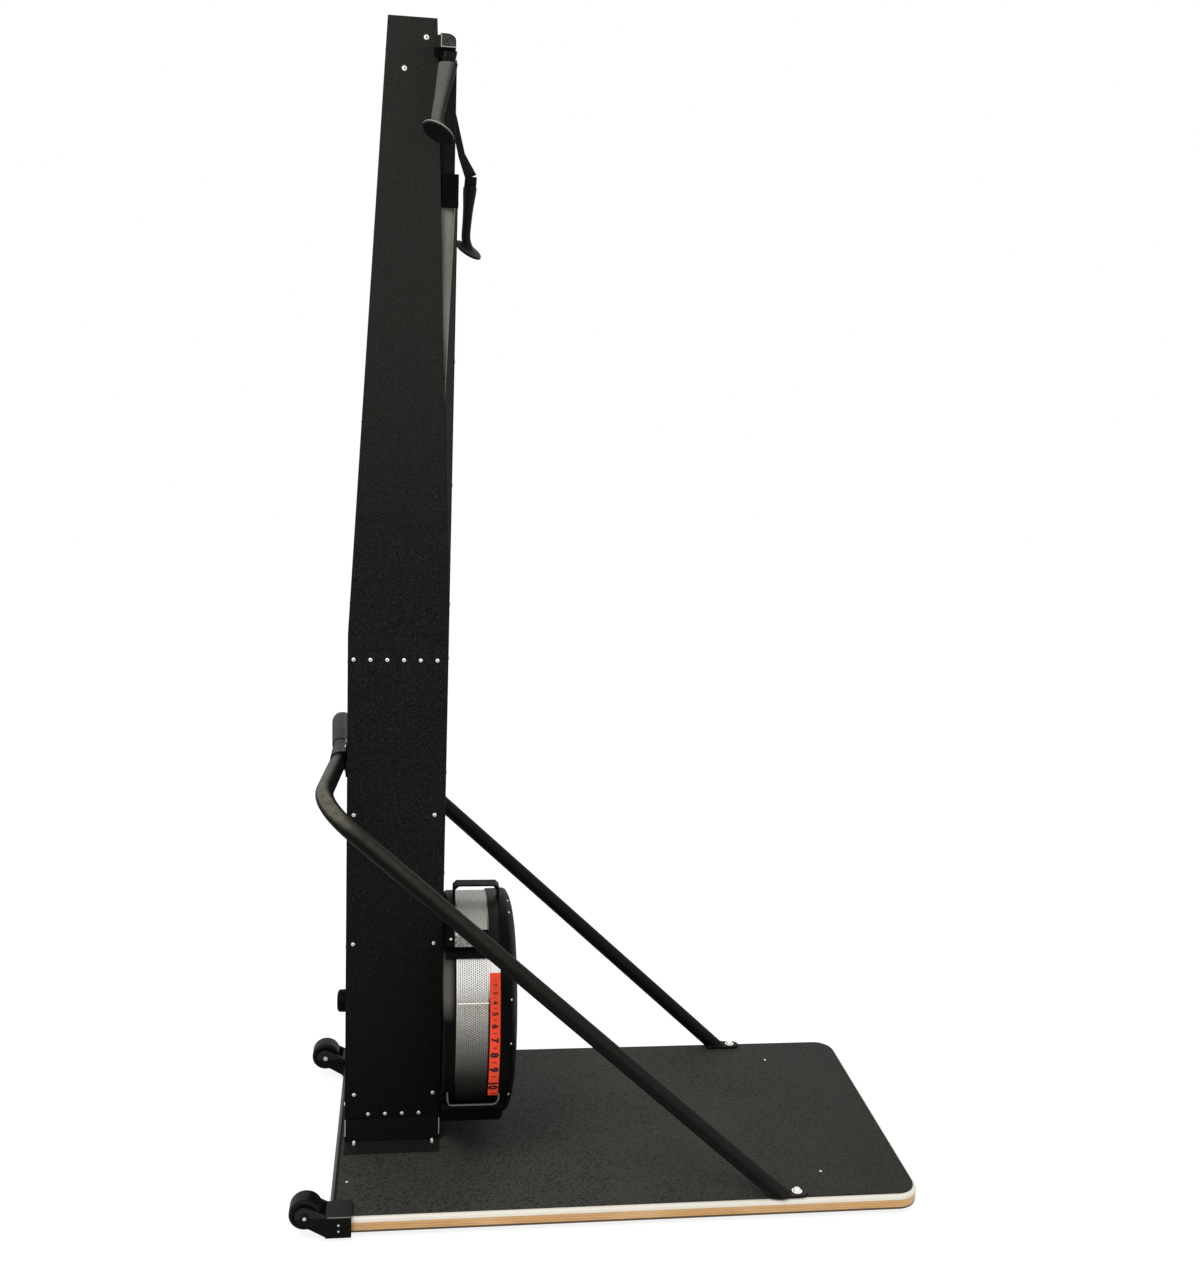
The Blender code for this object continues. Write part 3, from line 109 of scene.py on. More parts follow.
class Field:
    """A socket that takes part in sums: a sum on it adds the Math nodes."""

    def __init__(self, wiring, socket):
        self.wiring = wiring
        self.socket = socket

    def math(self, operation, first, second=None):
        return self.wiring.node("ShaderNodeMath", {"operation": operation}, {0: first, 1: second})

    def __add__(self, other):
        return self.math("ADD", self, other)

    def __sub__(self, other):
        return self.math("SUBTRACT", self, other)

    def __rsub__(self, other):
        return self.math("SUBTRACT", other, self)

    def __mul__(self, other):
        return self.math("MULTIPLY", self, other)

    def __truediv__(self, other):
        return self.math("DIVIDE", self, other)

    def __mod__(self, other):
        return self.math("FLOORED_MODULO", self, other)

    def __gt__(self, other):
        return self.math("GREATER_THAN", self, other)

    def __lt__(self, other):
        return self.math("LESS_THAN", self, other)

    def __abs__(self):
        return self.math("ABSOLUTE", self)

    __radd__ = __add__
    __rmul__ = __mul__

    def wave(self):
        return self.math("SINE", self)

    def between(self, low, high):
        """0 below low, 1 above high, and straight in between."""
        return self.wiring.node("ShaderNodeMapRange", {"clamp": True},
                                {0: self, 1: low, 2: high, 3: 0.0, 4: 1.0})


world = bpy.data.worlds.new("studio")
world.use_nodes = True
scene.world = world
surround = Wiring(world.node_tree)
world.node_tree.nodes.clear()
rays = surround.node("ShaderNodeLightPath")
seen = [Field(surround, rays.socket.node.outputs[name])
        for name in ("Is Camera Ray", "Is Glossy Ray", "Is Transmission Ray")]
any_seen = seen[0] + seen[1] + seen[2]
showing = any_seen.math("MINIMUM", any_seen, 1.0)
ROOM_LIGHT = 0.50
air = surround.node("ShaderNodeBackground", None,
                    {"Color": (1, 1, 1, 1), "Strength": ROOM_LIGHT + showing * (1 - ROOM_LIGHT)})
ending = world.node_tree.nodes.new("ShaderNodeOutputWorld")
world.node_tree.links.new(air.socket, ending.inputs["Surface"])

for name, place, aim, across, watts in (
        ("high_soft_box", (-0.95, -1.75, 3.15), (0.12, 0, 1.75), 1.3, 44),
        ("front_soft_box", (1.6, -2.6, 2.4), (0.4, 0, 0.1), 1.6, 14),
        ("back_soft_box", (1.8, 2.4, 2.6), (0.2, 0, 0.9), 1.8, 14)):
    lamp = bpy.data.lights.new(name, "AREA")
    lamp.shape = "SQUARE"
    lamp.size = across
    lamp.energy = watts
    lamp.color = (1.0, 0.985, 0.955)
    box = bpy.data.objects.new(name, lamp)
    box.location = spot(*place)
    box.rotation_euler = (spot(*aim) - spot(*place)).to_track_quat("-Z", "Y").to_euler()
    scene.collection.objects.link(box)


def grey(level, warmth=0.9):
    """A grey of one brightness, a little warm unless warmth is 1."""
    return (level, level, level * warmth)


class Finish(Wiring):
    """One surface finish: a Principled shader, and what varies its colour, gloss and relief."""

    def __init__(self, name, colour, roughness, gloss=0.5, metal=0.0):
        self.material = bpy.data.materials.new(name)
        self.material.use_nodes = True
        super().__init__(self.material.node_tree)
        self.shader = self.tree.nodes["Principled BSDF"]
        self.colour = (*colour, 1)
        self.normal = None
        for socket, value in (("Base Color", self.colour), ("Roughness", roughness),
                              ("Specular IOR Level", gloss), ("Metallic", metal)):
            self.shader.inputs[socket].default_value = value
        self.place = self.node("ShaderNodeTexCoord", output=3)

    def feed(self, socket, field):
        self.tree.links.new(field.socket, self.shader.inputs[socket])

    def axis(self, index):
        """x, y or z of the point, in metres, on the machine."""
        return self.node("ShaderNodeSeparateXYZ", None, {0: self.place}, index)

    def marked(self, name):
        """1 where the mesh is marked with the attribute of this name."""
        return self.node("ShaderNodeAttribute", {"attribute_name": name}, output=2)

    def noise(self, size, detail=2.0, stretch=(1, 1, 1)):
        """Cloudy grain, from 0 to 1, whose patches are about size metres across."""
        across = self.node("ShaderNodeMapping", None, {0: self.place, 3: stretch})
        return self.node("ShaderNodeTexNoise", None,
                         {"Vector": across, "Scale": 1 / size, "Detail": detail})

    def tint(self, colour, amount):
        """Mix colour in by amount, over what is there."""
        self.colour = self.node("ShaderNodeMix", {"data_type": "RGBA"},
                                {0: amount, 6: self.colour, 7: (*colour, 1)}, 2)
        self.feed("Base Color", self.colour)

    def emboss(self, height, depth):
        """Raise the surface by height times depth metres."""
        self.normal = self.node("ShaderNodeBump", None, {"Strength": 1.0, "Distance": depth,
                                                         "Height": height, "Normal": self.normal})
        self.feed("Normal", self.normal)


def skin(points, faces=()):
    mesh = bpy.data.meshes.new("skin")
    mesh.from_pydata(points, [], faces)
    return mesh


paper = Finish("studio_floor", grey(0.86, 0.99), 0.9, 0.0)
paper.tint(grey(0.9, 1), paper.noise(0.4))
FLOOR_GLOW = 0.62
to_camera = paper.node("ShaderNodeLightPath")
glow = paper.node("ShaderNodeEmission", None, {"Color": (1, 1, 1, 1), "Strength": 1.36})
both = paper.node("ShaderNodeMixShader", None,
                  {0: to_camera * FLOOR_GLOW, 1: Field(paper, paper.shader.outputs[0]), 2: glow})
paper.tree.links.new(both.socket, paper.tree.nodes["Material Output"].inputs["Surface"])
FLOOR = 9.0
floor_mesh = skin([(x * FLOOR, y * FLOOR, 0) for x, y in ((-1, -1), (1, -1), (1, 1), (-1, 1))],
                  [(0, 1, 2, 3)])
floor_mesh.materials.append(paper.material)
floor = bpy.data.objects.new("studio_floor", floor_mesh)
scene.collection.objects.link(floor)


# ---------------- plywood board
# Thick plywood cut to a rectangle with round front corners. The upper edge is rounded over
# into the pale face ply, and the cut edge below shows the plies, sanded and lacquered. The
# underside and the bottom of the cut edge are painted dark as shade under the board. The rear
# edge is black: a dark edge, deepened by the painted shadow of the tower.
def smoothed(mesh, angle=32):
    mesh.polygons.foreach_set("use_smooth", [True] * len(mesh.polygons))
    mesh.set_sharp_from_angle(angle=radians(angle))
    return mesh


def hung(name, mesh, body, finish, slot, *stands_for):
    """Puts a finished mesh on its body, and hides the solids it stands for."""
    mesh.name = name
    mesh.materials.clear()
    mesh.materials.append(finish.material)
    made = bpy.data.objects.new(name, mesh)
    scene.collection.objects.link(made)
    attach(made, body)
    if stands_for:
        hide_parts(*stands_for)
    return made


def outward(mesh):
    shape = bmesh.new()
    shape.from_mesh(mesh)
    bmesh.ops.remove_doubles(shape, verts=shape.verts, dist=1e-6)
    bmesh.ops.recalc_face_normals(shape, faces=shape.faces)
    shape.to_mesh(mesh)
    shape.free()
    return smoothed(mesh)


def lofted(rings, closed=False, caps=True):
    """A skin over rings with equal numbers of points. Closed, it runs on into the first ring."""
    count = len(rings[0])
    points = [tuple(p) for ring in rings for p in ring]
    faces = []
    for k in range(len(rings) if closed else len(rings) - 1):
        a, b = k * count, (k + 1) % len(rings) * count
        faces += [(a + i, a + (i + 1) % count, b + (i + 1) % count, b + i) for i in range(count)]
    if caps:
        faces += [tuple(range(count)), tuple(range(len(points) - count, len(points)))]
    return outward(skin(points, faces))


def arc(start, end, steps):
    """(cosine, sine) at even steps from one angle to another, in degrees."""
    angles = [radians(start + (end - start) * k / steps) for k in range(steps + 1)]
    return [(cos(a), sin(a)) for a in angles]


def rounded(left, right, bottom, top, radii, inset, steps=12):
    """A rectangle with round corners. radii belong to its right and its left end."""
    points = []
    for k, (u, v, radius) in enumerate(((right, bottom, radii[0]), (right, top, radii[0]),
                                        (left, top, radii[1]), (left, bottom, radii[1]))):
        u += radius if u == left else -radius
        v += radius if v == bottom else -radius
        points += [(u + (radius - inset) * c, v + (radius - inset) * s)
                   for c, s in arc(90 * k - 90, 90 * k, steps)]
    return points


def slab(rear_x, front_x, half, radii, levels):
    """A flat board with round corners, from levels of (height, inset)."""
    return lofted([[spot(x, y, height) for x, y in rounded(rear_x, front_x, -half, half, radii, inset)]
                   for height, inset in levels])


PLY = 0.0026
EDGE_ROUND = 0.006
ply = Finish("lacquered_plywood", (0.84, 0.47, 0.18), 0.42)
ply.shader.inputs["Coat Roughness"].default_value = 0.25
height = ply.axis(2)
layer = ((height - 0.012) / PLY) % 2.0
ply.tint((0.40, 0.215, 0.09), (layer > 1.0) * 0.35)
ply.tint((0.20, 0.10, 0.04), (abs(layer - 1.0) < 0.07) * 0.3)
grain = ply.noise(0.0016, 3.0, (0.05, 0.05, 1.0))
ply.tint((0.27, 0.15, 0.07), grain.between(0.50, 0.72) * 0.35)
ply.tint((0.92, 0.66, 0.36), ply.noise(0.03, 3.0, (0.3, 0.3, 1.0)).between(0.5, 0.75) * 0.55)
face_ply = height.between(0.0312, 0.0326)
ply.tint((1.0, 0.97, 0.87), face_ply * 0.95)
streak = ply.noise(0.002, 2.0, (0.03, 1.0, 0.3)).between(0.5, 0.8)
ply.tint((0.80, 0.66, 0.46), face_ply * streak * 0.35)
# Painted shade: the underside and the lowest part of the edge are darkened.
ply.tint((0.030, 0.020, 0.014), (height < 0.0170) * 0.92)
# Painted shadow of the tower over a dark rear edge: the rounding at the back is black.
ply.tint((0.012, 0.011, 0.010), (ply.axis(0) < rear - 0.0085) * (height > 0.030))
ply.feed("Coat Weight", 0.25 + grain * 0.2)
ply.feed("Roughness", 0.34 + grain * 0.25)
ply.emboss(grain, 0.00012)
REAR_END, FRONT_END, HALF_WIDE = -0.017, 1.0955, 0.3035
levels = [(0.012, 0.0012), (0.0128, 0.0003), (0.014, 0.0)]
levels += [(0.035 + EDGE_ROUND * s, EDGE_ROUND * (1 - c)) for c, s in arc(0, 90, 8)]
hung("plywood_board", slab(REAR_END, FRONT_END, HALF_WIDE, (0.045, 0.0085), levels), "base", ply,
     "plywood", "base_board")


# ---------------- non-slip mat
# Black crumb rubber sheet glued over the top of the board, up to its rounded edge. Bound
# granules give it a coarse grain, a little grey dust lies in it where people stand.
mat = Finish("crumb_rubber", grey(0.046), 0.78, 0.16)
crumb = mat.noise(0.0022, 3.0)
mat.tint((0.105, 0.103, 0.090), crumb.between(0.53, 0.68) * 0.85)
mat.tint(grey(0.009), mat.noise(0.0042).between(0.50, 0.62) * 0.75)
mat.tint((0.078, 0.076, 0.068), mat.noise(0.16, 4.0).between(0.45, 0.75) * 0.3)
# Painted shade: the mat is darker over the front part of the board.
mat.tint(grey(0.016), mat.axis(0).between(rear + 0.45, rear + 1.05) * 0.52)
# A black border along the rear edge: partly the mat's dark edge, partly the painted shadow of the
# tower.
mat.tint(grey(0.006, 1), (mat.axis(0) < rear - 0.0055) * 0.9)
mat.feed("Roughness", 0.70 + crumb * 0.25)
mat.emboss(crumb, 0.0006)
mat.emboss(mat.noise(0.0009), 0.0002)
INSET = 0.0063
hung("crumb_mat",
     slab(REAR_END + INSET, FRONT_END - INSET, HALF_WIDE - INSET, (0.0387, 0.003),
          [(0.0413, 0.0), (0.0431, 0.0), (0.0437, 0.0003), (0.0439, 0.001)]),
     "base", mat, "mat_rubber", "base_mat")


# ---------------- feet
# Four round rubber feet under the board, turned with a soft lower edge, a moulded groove
# and a washered screw sunk in the middle.
def eased(profile, closed, steps=3):
    """Profile points (along, out, ease): each corner is rounded back by its ease."""
    made = []
    count = len(profile)
    for i, (a, r, ease) in enumerate(profile):
        if not ease or (not closed and i in (0, count - 1)):
            made.append((a, r))
            continue
        ends = []
        for other in (profile[i - 1], profile[(i + 1) % count]):
            reach = hypot(other[0] - a, other[1] - r)
            share = min(ease, reach * 0.48) / reach
            ends.append((a + (other[0] - a) * share, r + (other[1] - r) * share))
        for k in range(steps + 1):
            t = k / steps
            made.append(tuple(ends[0][n] * (1 - t) ** 2 + (a, r)[n] * 2 * t * (1 - t)
                              + ends[1][n] * t ** 2 for n in (0, 1)))
    return made


def circle(count):
    return arc(0, 360, count)[:-1]


def turned(profile, axis, centre, sides=96, closed=True, steps=3):
    """A lathe form round an axis through centre, from a profile of (along, out, ease)."""
    rings = []
    for a, r in eased(profile, closed, steps):
        rings.append([centre + Vector({"X": (a, r * c, r * s), "Y": (r * s, a, r * c),
                                       "Z": (r * c, r * s, a)}[axis]) for c, s in circle(sides)])
    return lofted(rings, closed, False)


soft_black = Finish("foot_rubber", grey(0.017, 0.94), 0.85, 0.25)
soft_black.tint(grey(0.034), soft_black.noise(0.006, 4.0).between(0.45, 0.75))
soft_black.emboss(soft_black.noise(0.0007), 0.0001)
pad = [(0.0117, 0.0, 0), (0.0117, 0.020, 0.0006), (0.0062, 0.0197, 0.0004), (0.0056, 0.0190, 0.0004),
       (0.0050, 0.0195, 0.0004), (0.0, 0.0180, 0.002), (0.0, 0.0065, 0.0008),
       (0.0035, 0.0060, 0.0004), (0.0035, 0.0, 0)]
for x, end in ((0.048, "rear"), (1.0305, "front")):
    for side, word in ((-1, "left"), (1, "right")):
        node = word + "_" + end + "_foot"
        hung(node + "_pad", turned(pad, "Z", spot(x, side * 0.2385, 0), 48, False), "base",
             soft_black, "foot_rubber", node)


# ---------------- transport wheels and forks
# Two plastic rollers on the rear corners, each on a bolt through a folded steel bracket that
# wraps the corner of the board. Powder-coated black, with a bright bolt head outside.
def softened(name, node, width, finish, slot, segments=2, angle=30):
    """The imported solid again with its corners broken, as bent and coated sheet has them."""
    shape = bmesh.new()
    shape.from_mesh(frame["nodes"][node].data)
    bmesh.ops.remove_doubles(shape, verts=shape.verts, dist=1e-5)
    bmesh.ops.dissolve_limit(shape, angle_limit=radians(1), verts=shape.verts, edges=shape.edges)
    mesh = bpy.data.meshes.new(name)
    shape.to_mesh(mesh)
    shape.free()
    mesh.polygons.foreach_set("use_smooth", [True] * len(mesh.polygons))
    made = hung(name, mesh, frame["nodes"][node]["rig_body"], finish, slot, node)
    corners = made.modifiers.new("corners", "BEVEL")
    corners.width = width
    corners.segments = segments
    corners.limit_method = "ANGLE"
    corners.angle_limit = radians(angle)
    made.modifiers.new("even", "WEIGHTED_NORMAL").weight = 100


def powder_coat(name, colour, light, roughness, grain=0.0011, depth=0.00007, gloss=0.12):
    """Baked powder paint: fine orange peel, a coarser mottle, and slow clouds of dust."""
    coat = Finish(name, colour, roughness, gloss)
    fine = coat.noise(grain, 3.0)
    mottle = coat.noise(grain * 3.2, 3.0)
    coat.tint(light, mottle.between(0.40, 0.72) * 0.65)
    coat.tint(light, fine.between(0.45, 0.8) * 0.45)
    coat.tint([c * 1.6 for c in colour], coat.noise(0.12, 4.0).between(0.4, 0.8) * 0.4)
    coat.feed("Roughness", roughness - 0.06 + mottle * 0.2)
    coat.emboss(mottle, depth * 1.6)
    coat.emboss(fine, depth)
    return coat


def mirrored(half):
    """A profile that is the same both ways, from the half of it that comes first."""
    return half + [(-a, r, ease) for a, r, ease in half[::-1]]


bracket_coat = powder_coat("bracket_powder_coat", grey(0.0042, 0.93), grey(0.0100, 0.92), 0.30,
                           gloss=0.08)
height = bracket_coat.axis(2)
# Painted light: the top face of the bracket is lighter.
bracket_coat.tint(grey(0.026), height.between(0.0492, 0.0500) * 0.8)
# Painted highlight along the fold between the top and the outer side.
fold_highlight = (abs(bracket_coat.axis(1)) > 0.3116) * (bracket_coat.axis(0) > rear - 0.0175)
bracket_coat.tint(grey(0.30), fold_highlight * (height > 0.0486) * 0.7)
# Painted shade: the sides below the top are darker.
bracket_coat.tint(grey(0.0020), (1 - height.between(0.044, 0.049)) * 0.6)
tyre = Finish("wheel_plastic", grey(0.0042), 0.30, 0.09)
scuff = tyre.noise(0.004, 4.0, (1, 0.25, 1))
tyre.tint((0.016, 0.0155, 0.014), scuff.between(0.50, 0.72) * 0.7)
tyre.feed("Roughness", 0.24 + scuff * 0.3)
tyre.emboss(scuff, 0.00015)
zinc = Finish("zinc_plate", grey(0.70, 0.97), 0.30, metal=0.85)
zinc.tint(grey(0.50, 1), zinc.noise(0.0012, 3.0).between(0.4, 0.7) * 0.5)
zinc.feed("Roughness", 0.24 + zinc.noise(0.003, 3.0) * 0.25)
zinc.emboss(zinc.noise(0.0004), 0.00002)
wheel = mirrored([(-0.0200, 0.0056, 0.0003), (-0.0200, 0.0105, 0.0006), (-0.0172, 0.0112, 0.0006),
                  (-0.0166, 0.0205, 0.0006), (-0.0196, 0.0215, 0.0006), (-0.0198, 0.0255, 0.0025),
                  (-0.0165, 0.0290, 0.004)])
WHEEL_X, WHEEL_Z = -0.0576, 0.052
for side, word in ((-1, "left"), (1, "right")):
    softened(word + "_corner_fork", word + "_wheel_bracket", 0.0012, bracket_coat, "bracket_paint", 3)
    hung(word + "_roller", turned(wheel, "Y", spot(WHEEL_X, side * 0.2882, WHEEL_Z)),
         word + "_wheel", tyre, "wheel_rubber", word + "_transport_wheel")
    inner_end, head, tip = side * 0.2616, side * 0.3131, side * 0.3171
    bolt = [(inner_end, 0.0, 0), (inner_end, 0.0048, 0.0005), (head, 0.0048, 0),
            (head, 0.0034, 0), (tip - side * 0.0003, 0.0034, 0.0006), (tip, 0.0024, 0.0004),
            (tip - side * 0.0008, 0.0016, 0.0003), (tip - side * 0.0008, 0.0, 0)]
    collar = [(head, 0.0035, 0.0002), (head, 0.0080, 0.0006), (tip - side * 0.0014, 0.0076, 0.0012),
              (tip - side * 0.0012, 0.0036, 0.0004)]
    on_axle = spot(WHEEL_X, 0, WHEEL_Z)
    hung(word + "_axle_collar", turned(collar, "Y", on_axle, 48), "base", tyre, "wheel_rubber")
    hung(word + "_axle_bolt", turned(bolt, "Y", on_axle, 48, False), "base", zinc, "bright_steel",
         word + "_wheel_bolt")


# ---------------- tower sheets
# Folded 2 mm steel: two panels to each side that meet at the kink, a rear cover between
# them, front covers and a lid. Black, in a matt, coarsely speckled powder coat, with painted
# shade low down and painted light higher up. The upper front cover is a shade greyer, painted
# darker round its front fold as shade and with a painted highlight along its rear edge. The
# floor angles' upper faces are painted lighter as light from above, and the ends of their
# upright legs are near white.
tower_coat = powder_coat("tower_powder_coat", grey(0.0047), grey(0.0125), 0.60, gloss=0.07)
height = tower_coat.axis(2)
tower_coat.tint(grey(0.034), tower_coat.noise(0.0030).between(0.55, 0.66) * 0.62)
tower_coat.tint(grey(0.0010), tower_coat.noise(0.0034).between(0.53, 0.64) * 0.62)
# Painted shade: the sheets are darker towards the floor.
tower_coat.tint(grey(0.0014), (1 - height.between(0.22, 0.66)) * 0.60)
# Painted light: the sheets are lighter higher up.
tower_coat.tint(grey(0.024), height.between(1.15, 1.65) * 0.45)
cover_coat = powder_coat("front_cover_coat", grey(0.013), grey(0.034), 0.60, gloss=0.07)
ahead, height = cover_coat.axis(0) - rear, cover_coat.axis(2)
# Painted shade: the front of the cover, round its fold, is darker.
cover_coat.tint(grey(0.0028), ahead > 0.1823)
# Painted highlight along the rear edge of the cover's side flange.
rear_edge_highlight = ahead - (height - 1.446) * 0.0345 < 0.1666
cover_coat.tint(grey(0.23), rear_edge_highlight * height.between(1.40, 1.47) * 0.8)
angle_coat = powder_coat("base_angle_coat", grey(0.0042), grey(0.0120), 0.55, gloss=0.07)
ends, height = abs(angle_coat.axis(0) - rear - 0.092), angle_coat.axis(2)
# Painted light: the angles' upper, horizontal faces are lighter than their upright legs.
angle_coat.tint(grey(0.016), (height < 0.0476) * 0.8)
# The ends of the upright legs are near white.
angle_coat.tint(grey(0.62, 0.92), (ends > 0.0903) * (height > 0.060) * 0.85)
for node in ("left_lower_side_panel", "right_lower_side_panel", "left_upper_side_panel",
             "right_upper_side_panel", "rear_cover", "lower_front_cover", "top_cap"):
    softened(node + "_sheet", node, 0.0006, tower_coat, "tower_paint")
softened("upper_front_cover_sheet", "upper_front_cover", 0.0006, cover_coat, "tower_paint")
for word in ("left", "right"):
    softened(word + "_floor_angle", word + "_base_angle", 0.0007, angle_coat, "tower_paint")


# ---------------- screws
# Zinc-plated pan heads hold the sheets to the frame inside. Larger button heads with a
# hexagon socket carry the load at the top, at the foot of the tower and on the brackets.
def baked(thing):
    """The plain mesh that an object and its modifiers make. The object itself goes."""
    scene.collection.objects.link(thing)
    mesh = bpy.data.meshes.new_from_object(
        thing.evaluated_get(bpy.context.evaluated_depsgraph_get()))
    bpy.data.objects.remove(thing)
    return mesh


def carved(mesh, tool, crossing=False):
    """The mesh with a bmesh tool cut out of it. crossing says that the tool's parts meet."""
    tool_mesh = bpy.data.meshes.new("tool")
    tool.to_mesh(tool_mesh)
    tool.free()
    blank = bpy.data.objects.new("blank", mesh)
    cutter = bpy.data.objects.new("cutter", tool_mesh)
    scene.collection.objects.link(cutter)
    cut = blank.modifiers.new("cut", "BOOLEAN")
    cut.object = cutter
    cut.solver = "EXACT"
    cut.use_self = crossing
    made = baked(blank)
    bpy.data.objects.remove(cutter)
    return made


class Recipe(Wiring):
    """A Geometry Nodes tree for something that repeats. Its sizes are named inputs."""

    def __init__(self, name, inputs):
        super().__init__(bpy.data.node_groups.new(name, "GeometryNodeTree"))
        face = self.tree.interface
        face.new_socket("Geometry", in_out="OUTPUT", socket_type="NodeSocketGeometry")
        self.keys = {}
        for word, kind in (("Geometry", "Geometry"), *inputs.items()):
            self.keys[word] = face.new_socket(word, in_out="INPUT",
                                              socket_type="NodeSocket" + kind).identifier
        start = self.tree.nodes.new("NodeGroupInput")
        self.given = {word: Field(self, start.outputs[word]) for word in self.keys}

    def end(self, geometry):
        real = self.node("GeometryNodeRealizeInstances", None, {0: geometry})
        done = self.node("GeometryNodeSetMaterial", None,
                         {"Geometry": real, "Material": self.given["Finish"]})
        last = self.tree.nodes.new("NodeGroupOutput")
        self.tree.links.new(done.socket, last.inputs[0])

    def make(self, mesh, values):
        """Runs the recipe on mesh, and returns the plain mesh that comes out."""
        carrier = bpy.data.objects.new("carrier", mesh)
        work = carrier.modifiers.new("recipe", "NODES")
        work.node_group = self.tree
        for word, value in values.items():
            work[self.keys[word]] = value
        return baked(carrier)


screw_rows = Recipe("screw_rows", {"Head": "Object", "Size": "Float", "Seed": "Int",
                                   "Finish": "Material"})
add, given = screw_rows.node, screw_rows.given
facing = add("GeometryNodeInputNamedAttribute", {"data_type": "FLOAT_VECTOR"}, {"Name": "facing"})
turn = add("FunctionNodeRandomValue", {"data_type": "FLOAT"},
           {2: 0.0, 3: 2 * pi, "Seed": given["Seed"]}, 1)
stood = add("FunctionNodeAlignRotationToVector", {"axis": "Z"}, {"Vector": facing})
twist = add("FunctionNodeEulerToRotation", None, {0: add("ShaderNodeCombineXYZ", None, {2: turn})})
spun = add("FunctionNodeRotateRotation", {"rotation_space": "LOCAL"}, {0: stood, 1: twist})
head = add("GeometryNodeObjectInfo", {"transform_space": "ORIGINAL"}, {"Object": given["Head"]}, 4)
scale = add("ShaderNodeCombineXYZ", None, {axis: given["Size"] for axis in range(3)})
screw_rows.end(add("GeometryNodeInstanceOnPoints", None,
                   {"Points": given["Geometry"], "Instance": head, "Rotation": spun,
                    "Scale": scale}))


def screw_head(name, profile, sides, radius, depth):
    """A screw head of radius 1 on a thin washer. Its recess is a cross if sides is 4. A face
    attribute marks the black washer and the recess, whose black is painted shade."""
    top = max(p[0] for p in profile)
    tool = bmesh.new()
    if sides == 4:
        for swing in (0, pi / 2):
            bar = bmesh.ops.create_cube(tool, size=1.0)["verts"]
            bmesh.ops.scale(tool, vec=(radius * 2, radius * 0.5, depth), verts=bar)
            bmesh.ops.rotate(tool, cent=(0, 0, 0), verts=bar, matrix=Matrix.Rotation(swing, 3, "Z"))
    else:
        bmesh.ops.create_cone(tool, cap_ends=True, segments=sides, radius1=radius, radius2=radius,
                              depth=depth)
    bmesh.ops.translate(tool, vec=(0, 0, top), verts=tool.verts)
    cut = carved(turned(profile, "Z", Vector((0, 0, 0)), 24, False, 2), tool, True)
    washer_and_recess_shade = []
    for face in cut.polygons:
        out = hypot(face.center.x, face.center.y)
        sunk = abs(face.normal.z) < 0.5 or face.center.z < top - depth * 0.4
        washer_and_recess_shade.append(1.0 if out > 1.01 or (out < radius * 1.05 and sunk) else 0.0)
    cut.attributes.new("washer_and_recess_shade", "FLOAT", "FACE").data.foreach_set("value", washer_and_recess_shade)
    return bpy.data.objects.new(name, smoothed(cut, 30))


pan_head = screw_head("pan_head", [(-0.10, 0.0, 0), (-0.10, 1.30, 0), (0.06, 1.30, 0.04),
                                   (0.07, 1.0, 0), (0.24, 1.0, 0.10), (0.50, 0.78, 0.25),
                                   (0.62, 0.0, 0)], 4, 0.46, 0.5)
button_head = screw_head("button_head", [(-0.10, 0.0, 0), (-0.10, 1.38, 0), (0.08, 1.38, 0.04),
                                         (0.09, 1.0, 0), (0.28, 0.99, 0.1), (0.56, 0.76, 0.2),
                                         (0.62, 0.0, 0)], 6, 0.42, 0.7)
cap_nut = screw_head("cap_nut", [(-0.10, 0.0, 0), (-0.10, 1.25, 0), (0.20, 1.25, 0.04),
                                 (0.21, 0.95, 0), (1.70, 0.95, 0.1), (2.60, 0.70, 0.6),
                                 (2.90, 0.0, 0)], 6, 0.10, 0.1)


def screws(name, head, size, finish, places, seed, body="base"):
    """Screw heads at places, each a point in the tower's measures and the way it faces."""
    mesh = skin([spot(*p) for p, _ in places])
    mesh.attributes.new("facing", "FLOAT_VECTOR", "POINT").data.foreach_set(
        "vector", [c for _, way in places for c in way])
    made = screw_rows.make(mesh, {"Head": head, "Size": size, "Seed": seed,
                                  "Finish": finish.material})
    hung(name, smoothed(made, 30), body, finish, "bright_steel")


bright = Finish("bright_zinc", (1.0, 0.99, 0.96), 0.30, metal=0.35)
bright.tint(grey(0.78, 0.97), bright.noise(0.0012, 3.0).between(0.45, 0.7) * 0.45)
# Black washer, and painted shade in the recess.
bright.tint(grey(0.006, 1), bright.marked("washer_and_recess_shade"))
bright.feed("Roughness", 0.22 + bright.noise(0.003, 3.0) * 0.2)
SIDE = 0.0625
KINK_Z, TOP_Z = 1.063, 2.13
LEAN = 0.060 / (TOP_Z - KINK_Z)
side_rows = [(0.0107 + 0.0306 * k, 1.016) for k in range(6)]
side_rows += [(0.0130, 0.718), (0.1636, 0.718), (0.0135, 0.460), (0.1665, 0.460),
              (0.0175, 0.147), (0.1701, 0.147)]
side_rows += [(0.0450 + 0.0328 * k, 0.105) for k in range(4)]
places = [((x, side * SIDE, z), (0, side, 0)) for x, z in side_rows for side in (-1, 1)]
for z in (0.12, 0.45, 0.70, 1.01):
    places += [((0.0, y, z), (-1, 0, 0)) for y in (-0.048, 0.048)]
for z in (1.12, 1.45, 1.78, 2.08):
    places += [(((z - KINK_Z) * LEAN, y, z), (-1, 0, LEAN)) for y in (-0.048, 0.048)]
for z in (0.60, 0.80, 1.02, 1.12, 1.34, 1.56):
    places += [((0.184, y, z), (1, 0, 0)) for y in (-0.0525, 0.0525)]
screws("sheet_screws", pan_head, 0.0036, bright, places, 3)
